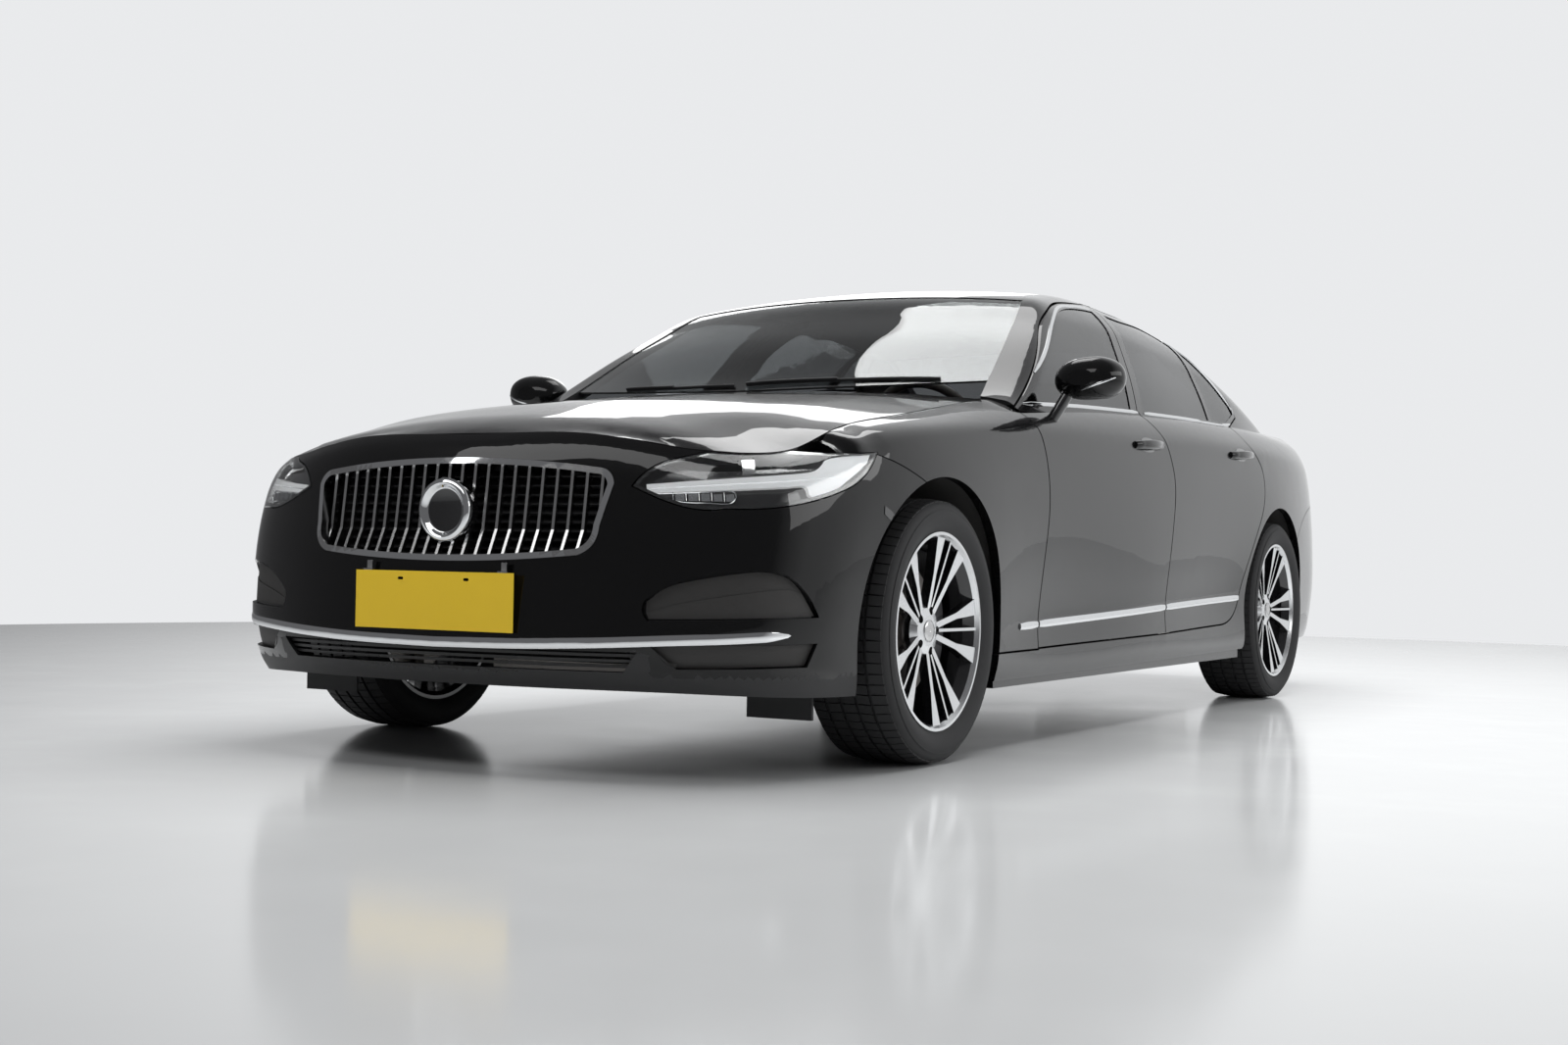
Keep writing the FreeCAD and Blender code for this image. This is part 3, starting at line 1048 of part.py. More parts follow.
keep("steering_wheel", steering)

SEAT_SIDE = [[(560, 430), (540, 330), (100, 300), (-20, 300)], [(-20, 300), (-60, 420), (-150, 700), (-250, 960)],
             [(-250, 960), (-240, 990), (-180, 990)], [(-180, 990), (-80, 760), (40, 500)],
             [(40, 500), (100, 455), (400, 480), (540, 480), (560, 430)]]
SEAT_SIDE = [drawn(run) for run in SEAT_SIDE]
cushion = prism(SEAT_SIDE, SIDE_VIEW, 130, 650)
head = block((along(-262), along(-182)), (270, 510), (1000, 1150))
head = head.makeFillet(28, head.Edges)
stalk = block((along(-225), along(-212)), (340, 440), (960, 1010))
foot = block((along(60), along(460)), (190, 590), (FLOOR_TOP, 330))
chair = cushion.multiFuse([head, stalk, foot])
keep("front_seats", chair.fuse(mirror(chair)))
BENCH_SIDE = [[(-430, 440), (-450, 300), (-480, 215)], [(-480, 215), (-480, 192.3)],
              [(-480, 192.3), (-779, 192.3)], [(-779, 192.3), (-779, 380.3)],
              [(-779, 380.3), (-1224, 380.3)], [(-1224, 380.3), (-1224, 960)],
              [(-1224, 960), (-1180, 985), (-1120, 960)], [(-1120, 960), (-1000, 700), (-920, 520)],
              [(-920, 520), (-840, 470), (-600, 480), (-460, 480), (-430, 440)]]
BENCH_SIDE = [[(along(x), z) for x, z in run] for run in BENCH_SIDE]
bench = prism(BENCH_SIDE, SIDE_VIEW, -WALL_IN + 12, WALL_IN - 12)
over_tunnel = TUNNEL + TUNNEL_WALL + SEAT
keep("rear_bench", bench.cut(block((-2000, 2000), (-over_tunnel, over_tunnel), (0, TUNNEL_TOP + SEAT))))

# Door mirrors.
MIRROR = Vector(along(800), across(985), 1052)
MIRROR_OUTLINE = [(-95, -18), (-92, 22), (-60, 52), (0, 66), (60, 62), (104, 34), (112, -4), (92, -42), (30, -58), (-50, -54)]
MIRROR_STEPS = [(-30, 0.96), (-8, 1.0), (18, 0.97), (42, 0.84), (60, 0.62), (70, 0.36)]
rings = []
for step_x, share in MIRROR_STEPS:
    curve = Part.BSplineCurve()
    curve.interpolate(Points=[MIRROR + Vector(step_x, y * share, z * share) for y, z in MIRROR_OUTLINE], PeriodicFlag=True)
    rings.append(Part.Wire(curve.toShape()))
shell = Part.makeLoft(rings, True)
arm = rod(Vector(along(838), across(880), 915), MIRROR + Vector(15, -40, -20), 17)
mirror_left = shell.fuse(arm).cut(door_shell)
keep_pair("door_mirror", mirror_left)

os.makedirs("parts", exist_ok=True)
doc.recompute()
for thing in doc.Objects:
    if "Invalid" in thing.State or "Error" in thing.State:
        raise RuntimeError("%s did not recompute" % thing.Name)
for name, piece in PIECES.items():
    if piece.Shape.isNull() or not piece.Shape.isValid() or not piece.Shape.Solids:
        raise RuntimeError("%s has no sound solid" % name)
for name, piece in PIECES.items():
    piece.Shape.exportStep(os.path.join("parts", name + ".step"))
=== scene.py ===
"""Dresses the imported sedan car: paint, glass, lamps, bright trim, wheels, tyres and cabin."""

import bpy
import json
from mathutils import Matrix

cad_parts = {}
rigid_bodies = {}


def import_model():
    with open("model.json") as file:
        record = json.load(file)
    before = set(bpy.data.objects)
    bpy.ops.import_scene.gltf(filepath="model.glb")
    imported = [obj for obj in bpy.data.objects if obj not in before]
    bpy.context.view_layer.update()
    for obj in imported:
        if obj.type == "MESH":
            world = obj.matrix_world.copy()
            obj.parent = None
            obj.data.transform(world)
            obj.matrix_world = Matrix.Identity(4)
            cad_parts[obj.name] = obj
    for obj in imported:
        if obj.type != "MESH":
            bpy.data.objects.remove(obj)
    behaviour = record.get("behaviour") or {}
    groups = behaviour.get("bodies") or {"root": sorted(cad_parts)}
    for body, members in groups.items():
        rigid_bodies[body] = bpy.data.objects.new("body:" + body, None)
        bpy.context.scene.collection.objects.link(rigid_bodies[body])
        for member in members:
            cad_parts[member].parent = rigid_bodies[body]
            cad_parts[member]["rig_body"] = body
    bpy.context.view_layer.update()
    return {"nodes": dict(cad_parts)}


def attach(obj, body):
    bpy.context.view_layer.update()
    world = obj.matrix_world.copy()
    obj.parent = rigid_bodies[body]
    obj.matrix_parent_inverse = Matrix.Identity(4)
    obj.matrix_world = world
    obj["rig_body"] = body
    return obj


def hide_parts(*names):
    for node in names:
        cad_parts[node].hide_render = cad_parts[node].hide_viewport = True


bl_info = {
    "name": "Sedan Car Dresser",
    "version": (1, 0, 0),
    "blender": (4, 5, 0),
    "location": "View3D > Sidebar > Sedan Car",
    "description": "Finishes and trims a sedan car built from separate body panels",
    "category": "Object",
}

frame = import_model()

import json
import math

import bmesh
import bpy
import numpy as np
from mathutils import Euler, Matrix, Vector
from mathutils.bvhtree import BVHTree

NODES = frame["nodes"]

# Places on the car, in metres
AXLES = {"front": 1.650, "rear": -1.411}
WHEEL_Y = 0.814
WHEEL_Z = 0.3395
TYRE_RADIUS = 0.3392
NOSE = 2.545
BOSS_Z = 0.624


# Finishes

def new_finish(name, values):
    """A material whose Principled shader holds the given values."""
    material = bpy.data.materials.new(name)
    material.use_nodes = True
    tree = material.node_tree
    shader = tree.nodes["Principled BSDF"]
    for key, value in values.items():
        shader.inputs[key].default_value = value
    return material, tree, shader


def add_node(tree, kind, links=None, values=None, **settings):
    """A shader node with its settings, its plain values and the sockets that feed it."""
    made = tree.nodes.new("ShaderNode" + kind)
    for key, value in settings.items():
        setattr(made, key, value)
    for socket, value in (values or {}).items():
        made.inputs[socket].default_value = value
    for socket, source in (links or {}).items():
        tree.links.new(source, made.inputs[socket])
    return made


# Sockets of the pattern groups, and the share of wide clouds in each
GRAIN_INPUTS = [("Light", "Color", (1, 1, 1, 1)), ("Dark", "Color", (0, 0, 0, 1)),
                ("Scale", "Float", 100.0), ("Stretch", "Vector", (1, 1, 1)),
                ("Smoothest", "Float", 0.2), ("Roughest", "Float", 0.4)]
GRAIN_OUTPUTS = [("Colour", "Color"), ("Roughness", "Float"), ("Height", "Float")]
CLOUD_SCALE = 3.1
CLOUD_SHARE = 0.35


def pattern_group(name, pattern):
    """A group that mixes two colours and two roughnesses by a pattern and wide clouds."""
    found = bpy.data.node_groups.get(name)
    if found:
        return found
    tree = bpy.data.node_groups.new(name, "ShaderNodeTree")
    for label, kind, value in GRAIN_INPUTS:
        socket = tree.interface.new_socket(label, in_out="INPUT", socket_type="NodeSocket" + kind)
        socket.default_value = value
    for label, kind in GRAIN_OUTPUTS:
        tree.interface.new_socket(label, in_out="OUTPUT", socket_type="NodeSocket" + kind)
    start = tree.nodes.new("NodeGroupInput").outputs
    end = tree.nodes.new("NodeGroupOutput").inputs
    place = add_node(tree, "TexCoord").outputs["Object"]
    mapping = add_node(tree, "Mapping", {"Vector": place, "Scale": start["Stretch"]})
    height = pattern(tree, mapping.outputs["Vector"], start["Scale"])
    clouds = add_node(tree, "TexNoise", {"Vector": place}, {"Scale": CLOUD_SCALE, "Detail": 4.0})
    share = add_node(tree, "Math", {0: clouds.outputs["Fac"]}, {1: CLOUD_SHARE}, operation="MULTIPLY")
    blend = add_node(tree, "Math", {0: height, 2: share.outputs[0]}, {1: 1 - CLOUD_SHARE},
                     operation="MULTIPLY_ADD")
    colours = add_node(tree, "Mix", {"Factor": blend.outputs[0], 6: start["Dark"], 7: start["Light"]},
                       data_type="RGBA")
    rough = add_node(tree, "MapRange", {"Value": blend.outputs[0], "To Min": start["Smoothest"],
                                        "To Max": start["Roughest"]}, {"From Min": 0.25, "From Max": 0.75})
    tree.links.new(colours.outputs[2], end["Colour"])
    tree.links.new(rough.outputs["Result"], end["Roughness"])
    tree.links.new(height, end["Height"])
    return tree


def speckle(tree, vector, scale):
    """Fine even grain."""
    return add_node(tree, "TexNoise", {"Vector": vector, "Scale": scale}, {"Detail": 5.0}).outputs["Fac"]


def creases(tree, vector, scale):
    """Cells with soft valleys between them, as on leather."""
    cells = add_node(tree, "TexVoronoi", {"Vector": vector, "Scale": scale}, {"Smoothness": 0.6},
                     feature="SMOOTH_F1")
    flip = add_node(tree, "Math", {1: cells.outputs["Distance"]}, {0: 1.0}, operation="SUBTRACT")
    return flip.outputs[0]


def twill(tree, vector, scale):
    """Crossing threads, as on woven or tufted cloth."""
    across, along = (add_node(tree, "TexWave", {"Vector": vector, "Scale": scale}, {"Distortion": 1.2},
                              bands_direction=direction).outputs["Fac"] for direction in ("X", "Y"))
    return add_node(tree, "Math", {0: across, 1: along}, operation="MULTIPLY").outputs[0]


PATTERNS = {"speckle": speckle, "creases": creases, "twill": twill}


def grained(name, light, dark, rough, pattern="speckle", scale=300.0, depth=0.1, size=0.0005,
            stretch=(1, 1, 1), **values):
    """A finish with two shades, a roughness that varies and a fine relief."""
    values = {key.replace("_", " "): value for key, value in values.items()}
    material, tree, shader = new_finish(name, values)
    grain = add_node(tree, "Group", node_tree=pattern_group(pattern, PATTERNS[pattern]))
    sockets = {"Light": (*light, 1), "Dark": (*dark, 1), "Scale": scale, "Stretch": stretch,
               "Smoothest": rough[0], "Roughest": rough[1]}
    for key, value in sockets.items():
        grain.inputs[key].default_value = value
    bump = add_node(tree, "Bump", {"Height": grain.outputs["Height"]}, {"Strength": depth, "Distance": size})
    tree.links.new(grain.outputs["Colour"], shader.inputs["Base Color"])
    tree.links.new(grain.outputs["Roughness"], shader.inputs["Roughness"])
    tree.links.new(bump.outputs["Normal"], shader.inputs["Normal"])
    return material


def glass_finish(name, tint, rough=0.0):
    """Clear or tinted glass with the faintest ripple in its gloss."""
    values = {"Base Color": (*tint, 1), "Metallic": 0.0, "IOR": 1.46, "Transmission Weight": 1.0,
              "Roughness": rough}
    material, tree, shader = new_finish(name, values)
    grain = add_node(tree, "Group", node_tree=pattern_group("speckle", speckle))
    for key, value in (("Scale", 14.0), ("Smoothest", rough), ("Roughest", rough + 0.006)):
        grain.inputs[key].default_value = value
    tree.links.new(grain.outputs["Roughness"], shader.inputs["Roughness"])
    return material


def settings_of(group):
    """One of the three groups of settings on the scene."""
    return getattr(bpy.context.scene, "car_" + group)


def paint_finish():
    """Deep body colour under a clear coat."""
    colour = settings_of("finish").body_colour
    return grained("paint", [c * 1.5 + 0.0015 for c in colour], colour, (0.24, 0.34), scale=2600.0,
                   depth=0.03, size=0.0002, IOR=1.5, Specular_IOR_Level=0.04, Coat_Weight=1.0,
                   Coat_Roughness=0.012, Coat_IOR=1.4)


def plate_finish():
    """Plain sheet in the plate's colour."""
    colour = settings_of("finish").plate_colour
    return grained("plate_sheet", colour, [c * 0.92 for c in colour], (0.32, 0.42), scale=500.0, depth=0.03)


def leather_finish():
    """Creased leather in the seats' colour."""
    colour = settings_of("finish").leather_colour
    return grained("leather", [c * 1.35 for c in colour], colour, (0.36, 0.52), pattern="creases",
                   scale=520.0, depth=0.35, Sheen_Weight=0.15)


SET_FINISHES = {
    "paint": paint_finish,
    "plate_sheet": plate_finish,
    "leather": leather_finish,
    "window_glass": lambda: glass_finish("window_glass", settings_of("finish").glass_tint),
    "screen_glass": lambda: glass_finish("screen_glass", settings_of("finish").screen_tint),
    "lens_glass": lambda: glass_finish("lens_glass", (0.97, 0.98, 0.98)),
    "red_glass": lambda: glass_finish("red_glass", (0.55, 0.006, 0.008), 0.02),
}

PLAIN_FINISHES = {
    "mirror_glass": dict(light=(0.86, 0.88, 0.9), dark=(0.84, 0.86, 0.88), rough=(0.0, 0.01), depth=0.0,
                         Metallic=1.0),
    "chrome": dict(light=(0.78, 0.79, 0.8), dark=(0.7, 0.71, 0.72), rough=(0.03, 0.07), scale=160.0,
                   depth=0.01, Metallic=1.0),
    "satin_chrome": dict(light=(0.62, 0.62, 0.62), dark=(0.5, 0.5, 0.5), rough=(0.16, 0.26), scale=900.0,
                         depth=0.04, Metallic=1.0),
    "machined_alloy": dict(light=(0.78, 0.79, 0.8), dark=(0.66, 0.67, 0.68), rough=(0.2, 0.3), scale=1500.0,
                           depth=0.06, stretch=(1, 0.2, 1), Metallic=1.0, Coat_Weight=0.5,
                           Coat_Roughness=0.06),
    "cast_iron": dict(light=(0.42, 0.4, 0.38), dark=(0.24, 0.22, 0.21), rough=(0.3, 0.5), scale=240.0,
                      depth=0.2, Metallic=1.0),
    "steel": dict(light=(0.5, 0.49, 0.47), dark=(0.3, 0.29, 0.28), rough=(0.28, 0.48), Metallic=1.0),
    "caliper_paint": dict(light=(0.3, 0.3, 0.31), dark=(0.2, 0.2, 0.21), rough=(0.35, 0.5), scale=420.0,
                          depth=0.25, Metallic=0.6),
    "engine_alloy": dict(light=(0.38, 0.38, 0.38), dark=(0.2, 0.2, 0.2), rough=(0.35, 0.6), scale=220.0,
                         depth=0.4, size=0.001, Metallic=0.9),
    "underbody": dict(light=(0.05, 0.049, 0.047), dark=(0.022, 0.021, 0.02), rough=(0.6, 0.85),
                      scale=170.0, depth=0.5, size=0.001),
    "gloss_black": dict(light=(0.012, 0.012, 0.013), dark=(0.006, 0.006, 0.007), rough=(0.1, 0.18),
                        scale=700.0, depth=0.02, Coat_Weight=1.0, Coat_Roughness=0.03),
    "screen_black": dict(light=(0.008, 0.009, 0.011), dark=(0.004, 0.005, 0.006), rough=(0.04, 0.08),
                         depth=0.0, Coat_Weight=1.0, Coat_Roughness=0.02),
    "lamp_housing": dict(light=(0.02, 0.02, 0.022), dark=(0.008, 0.008, 0.009), rough=(0.1, 0.25),
                         scale=400.0, depth=0.03, Coat_Weight=0.8, Coat_Roughness=0.05),
    "lamp_white": dict(light=(0.82, 0.84, 0.86), dark=(0.66, 0.68, 0.7), rough=(0.12, 0.2), scale=500.0,
                       depth=0.05, Coat_Weight=0.6, Coat_Roughness=0.05, Emission_Color=(1, 1, 1, 1),
                       Emission_Strength=0.3),
    "black_rubber": dict(light=(0.028, 0.028, 0.029), dark=(0.014, 0.014, 0.015), rough=(0.62, 0.85),
                         scale=900.0, depth=0.25),
    "dark_plastic": dict(light=(0.022, 0.022, 0.023), dark=(0.012, 0.012, 0.013), rough=(0.42, 0.6),
                         pattern="creases", scale=1100.0, depth=0.25),
    "matte_insert": dict(light=(0.04, 0.038, 0.037), dark=(0.022, 0.021, 0.02), rough=(0.5, 0.68),
                         pattern="creases", scale=1300.0, depth=0.3),
    "soft_trim": dict(light=(0.045, 0.043, 0.042), dark=(0.025, 0.024, 0.023), rough=(0.45, 0.6),
                      pattern="creases", scale=700.0, depth=0.3),
    "headliner": dict(light=(0.2, 0.195, 0.185), dark=(0.13, 0.127, 0.12), rough=(0.85, 0.95),
                      pattern="twill", scale=480.0, depth=0.3, Sheen_Weight=0.3),
    "carpet": dict(light=(0.03, 0.029, 0.028), dark=(0.012, 0.012, 0.012), rough=(0.9, 1.0),
                   pattern="twill", depth=0.9, size=0.001, Sheen_Weight=0.4),
    "floor_tile": dict(light=(0.70, 0.71, 0.715), dark=(0.655, 0.665, 0.67), rough=(0.1, 0.16), scale=2.0,
                       depth=0.0),
}
STOCK = {}


def stock(name):
    """The named finish, made on its first use."""
    if name not in STOCK:
        set_here = SET_FINISHES.get(name)
        STOCK[name] = set_here() if set_here else grained(name, **PLAIN_FINISHES[name])
    return STOCK[name]


# Making and placing pieces

def body_of(node):
    """The moving body that a CAD node belongs to."""
    return NODES[node]["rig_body"]


def settle(name, mesh, body, slot, sharp=35.0, stands_for=()):
    """Turns a mesh into a finished piece that rides on its body."""
    shape = bmesh.new()
    shape.from_mesh(mesh)
    bmesh.ops.remove_doubles(shape, verts=shape.verts, dist=0.00002)
    bmesh.ops.recalc_face_normals(shape, faces=shape.faces)
    shape.to_mesh(mesh)
    shape.free()
    mesh.shade_smooth()
    mesh.set_sharp_from_angle(angle=math.radians(sharp))
    mesh.name = name
    made = bpy.data.objects.new(name, mesh)
    bpy.context.scene.collection.objects.link(made)
    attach(made, body)
    if stands_for:
        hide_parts(*stands_for)
    return made


def piece(name, points, faces, finishes, body, slot, sharp=35.0, indices=None, stands_for=()):
    """A piece from plain points and faces."""
    mesh = bpy.data.meshes.new(name)
    mesh.from_pydata([tuple(p) for p in points], [], faces)
    for finish in finishes:
        mesh.materials.append(stock(finish))
    if indices:
        mesh.polygons.foreach_set("material_index", indices)
    return settle(name, mesh, body, slot, sharp, stands_for)


def both_sides(name, points, faces, finishes, body, slot, **extra):
    """A piece on the left and its twin on the right. Names and bodies that end in left change sides."""
    left = piece(name, points, faces, finishes, body, slot, **extra)
    right_points = [(p[0], -p[1], p[2]) for p in points]
    right = piece(name.replace("left", "right"), right_points, [f[::-1] for f in faces], finishes,
                  body.replace("left", "right"), slot, **extra)
    return left, right


def dress(node, finishes, pick):
    """A merged copy of a CAD node whose faces take different finishes. It keeps the node's own shading."""
    mesh = NODES[node].data.copy()
    mesh.materials.clear()
    for finish in finishes:
        mesh.materials.append(stock(finish))
    kept = mesh.attributes.new("kept_normal", "FLOAT_VECTOR", "CORNER")
    values = np.empty(len(mesh.loops) * 3, np.float32)
    mesh.corner_normals.foreach_get("vector", values)
    kept.data.foreach_set("vector", values)
    shape = bmesh.new()
    shape.from_mesh(mesh)
    bmesh.ops.remove_doubles(shape, verts=shape.verts, dist=0.00001)
    for face in shape.faces:
        face.material_index = pick(face.calc_center_median(), face.normal)
        face.smooth = True
    shape.to_mesh(mesh)
    shape.free()
    kept = mesh.attributes["kept_normal"]
    values = np.empty(len(mesh.loops) * 3, np.float32)
    kept.data.foreach_get("vector", values)
    mesh.attributes.remove(kept)
    mesh.normals_split_custom_set(values.reshape(-1, 3).tolist())
    made = bpy.data.objects.new(node + "_dressed", mesh)
    bpy.context.scene.collection.objects.link(made)
    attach(made, body_of(node))
    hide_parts(node)
    return made


def coat(node, finish):
    """Gives a CAD node one finish."""
    thing = NODES[node]
    thing.data.materials.clear()
    thing.data.materials.append(stock(finish))


SKINS = {}


def skin_of(*nodes):
    """A search tree over the faces of some CAD nodes."""
    if nodes not in SKINS:
        points, faces = [], []
        for node in nodes:
            base = len(points)
            points += [v.co.copy() for v in NODES[node].data.vertices]
            faces += [[base + i for i in p.vertices] for p in NODES[node].data.polygons]
        SKINS[nodes] = BVHTree.FromPolygons(points, faces)
    return SKINS[nodes]


# Views that shapes are laid from: where a look starts and the way it goes. The corner view looks
# squarely at the left front corner, so that its first measure runs along the bumper's bend.
ACROSS = Vector((-0.776, 0.631, 0))
INWARD = Vector((-0.631, -0.776, 0))
VIEWS = {
    "left": (lambda a, b: Vector((a, 1.6, b)), Vector((0, -1, 0))),
    "front": (lambda a, b: Vector((3.5, a, b)), Vector((-1, 0, 0))),
    "top": (lambda a, b: Vector((a, b, 2.4)), Vector((0, 0, -1))),
    "corner": (lambda a, b: ACROSS * a - INWARD * 3.2 + Vector((0, 0, b)), INWARD),
}
SEARCH_STEP = 0.002
SEARCH_STEPS = 30


def hit(view, nodes, a, b):
    """Where a look along a view meets the body, and which way it faces there."""
    start, way = VIEWS[view]
    place, normal, _, _ = skin_of(*nodes).ray_cast(start(a, b), way)
    if place is None:
        return None
    if normal.dot(way) > 0:
        normal = -normal
    return place, normal


def nearest_hit(view, nodes, a, b):
    """The first place that a look meets when it is shifted sideways or upwards little by little."""
    for k in range(1, SEARCH_STEPS):
        for da, db in ((k, 0), (-k, 0), (0, k), (0, -k)):
            found = hit(view, nodes, a + da * SEARCH_STEP, b + db * SEARCH_STEP)
            if found:
                return found
    raise RuntimeError("nothing lies under this panel")


def flowing(points, step=0.012, closed=False):
    """Evenly spaced points on a smooth curve through the given ones."""
    points = [Vector(p) for p in points]
    count = len(points)
    fine = []
    spans = count if closed else count - 1
    for i in range(spans):
        p1, p2 = points[i], points[(i + 1) % count]
        p0 = points[i - 1] if closed or i else p1 * 2 - p2
        p3 = points[(i + 2) % count] if closed or i + 2 < count else p2 * 2 - p1
        for k in range(12):
            t = k / 12
            fine.append(0.5 * (2 * p1 + (p2 - p0) * t + (2 * p0 - 5 * p1 + 4 * p2 - p3) * t * t
                               + (3 * p1 - p0 - 3 * p2 + p3) * t ** 3))
    fine.append(points[0] if closed else points[-1])
    lengths = [0.0]
    for a, b in zip(fine, fine[1:]):
        lengths.append(lengths[-1] + (b - a).length)
    number = max(2, int(lengths[-1] / step))
    result, k = [], 0
    for i in range(number + (0 if closed else 1)):
        target = lengths[-1] * i / number
        while k < len(lengths) - 2 and lengths[k + 1] < target:
            k += 1
        share = (target - lengths[k]) / max(lengths[k + 1] - lengths[k], 1e-9)
        result.append(fine[k].lerp(fine[k + 1], min(max(share, 0), 1)))
    return result


# A wider step than this between two points of a run ends it
WIDEST_JUMP = 0.032


def laid(path, view, nodes):
    """The longest run of a path that lies on the nodes' outer faces, as points with normals."""
    runs, run = [], []
    for a, b in path:
        found = hit(view, nodes, a, b)
        if run and (found is None or (found[0] - run[-1][0]).length > WIDEST_JUMP):
            runs.append(run)
            run = []
        if found:
            run.append(found)
    runs.append(run)
    return max(runs, key=len)


def traced(points, view, nodes, step, closed=False):
    """The run of a smooth curve through points of a view, laid on the nodes."""
    return laid([(p.x, p.y) for p in flowing([(a, b, 0) for a, b in points], step, closed)], view, nodes)


def lifted(run, distance):
    """The same run further out from the skin, or further in where the distance is negative."""
    return [(p + n * distance, n) for p, n in run]


def bead(run, width, height, sink=0.0015, closed=False, sides=6, tip=1.0):
    """Points and faces of a half-round bead that follows points with normals."""
    points, faces = [], []
    count = len(run)
    bend = [math.pi * k / sides for k in range(sides + 1)]
    section = [(-0.5 * math.cos(angle), math.sin(angle) ** 0.6) for angle in bend]
    section = [(-0.5, -sink / height)] + section + [(0.5, -sink / height)]
    for i, (place, normal) in enumerate(run):
        before = run[i - 1][0] if i or closed else place
        after = run[(i + 1) % count][0] if i < count - 1 or closed else place
        along = (after - before).normalized()
        side = along.cross(normal).normalized()
        out = side.cross(along).normalized()
        size = 1.0
        if not closed and tip < 1.0:
            size = min(1.0, tip + (1 - tip) * min(i, count - 1 - i) / 4)
        for a, b in section:
            points.append(place + side * a * width * size + out * b * height * (size if b > 0 else 1))
    ring = len(section)
    for i in range(count if closed else count - 1):
        here, there = i * ring, ((i + 1) % count) * ring
        for k in range(ring):
            n = (k + 1) % ring
            faces.append([here + k, here + n, there + n, there + k])
    if not closed:
        faces.append(list(range(ring)))
        faces.append([(count - 1) * ring + k for k in range(ring)][::-1])
    return points, faces


def panel(low, top, view, nodes, near, far, columns=24, rows=6):
    """Points and faces of a shell between two curves of a view, sunk from near to far behind the skin."""
    def even(curve):
        dense = flowing(curve, 0.004)
        return [dense[round(i * (len(dense) - 1) / columns)] for i in range(columns + 1)]
    low, top = even([(*p, 0) for p in low]), even([(*p, 0) for p in top])
    front, back = [], []
    last = None
    for j in range(rows + 1):
        for i in range(columns + 1):
            a, b, _ = low[i].lerp(top[i], j / rows)
            found = hit(view, nodes, a, b) or last or nearest_hit(view, nodes, a, b)
            last = found
            place, normal = found
            front.append(place - normal * near)
            back.append(place - normal * far)
    wide = columns + 1
    size = len(front)
    faces = []
    for j in range(rows):
        for i in range(columns):
            a = j * wide + i
            faces.append([a, a + 1, a + wide + 1, a + wide])
            faces.append([size + a, size + a + wide, size + a + wide + 1, size + a + 1])
    edge = list(range(wide)) + [wide * (j + 1) + columns for j in range(rows)]
    edge += [wide * rows + i for i in range(columns - 1, -1, -1)]
    edge += [wide * j for j in range(rows - 1, 0, -1)]
    for a, b in zip(edge, edge[1:] + edge[:1]):
        faces.append([a, size + a, size + b, b])
    return front + back, faces


def lathe(profile, steps, close=True):
    """Points and faces of a ring turned about Y from (across, radius) points."""
    points, faces = [], []
    count = len(profile)
    for i in range(steps):
        angle = 2 * math.pi * i / steps
        for a, r in profile:
            points.append(Vector((r * math.cos(angle), a, r * math.sin(angle))))
    for i in range(steps):
        n = (i + 1) % steps
        for k in range(count if close else count - 1):
            m = (k + 1) % count
            if profile[k][1] < 1e-6 and profile[m][1] < 1e-6:
                continue
            faces.append([i * count + k, i * count + m, n * count + m, n * count + k])
    return points, faces


def box_points(x, y, z, round_=0.0):
    """A block with chamfered upright and level edges between two corners."""
    shape = bmesh.new()
    bmesh.ops.create_cube(shape, size=1.0)
    for v in shape.verts:
        v.co = Vector([(lo + hi) / 2 + c * (hi - lo) for c, (lo, hi) in zip(v.co, (x, y, z))])
    if round_:
        bmesh.ops.bevel(shape, geom=shape.edges[:], offset=round_, segments=3, profile=0.6, affect="EDGES")
    shape.verts.index_update()
    points = [v.co.copy() for v in shape.verts]
    faces = [[v.index for v in f.verts] for f in shape.faces]
    shape.free()
    return points, faces


def joined(*parts):
    """Several point and face lists as one."""
    points, faces = [], []
    for some_points, some_faces in parts:
        base = len(points)
        points += some_points
        faces += [[base + i for i in face] for face in some_faces]
    return points, faces


def moved(part, matrix):
    points, faces = part
    return [matrix @ Vector(p) for p in points], faces


# Repeats made with Geometry Nodes

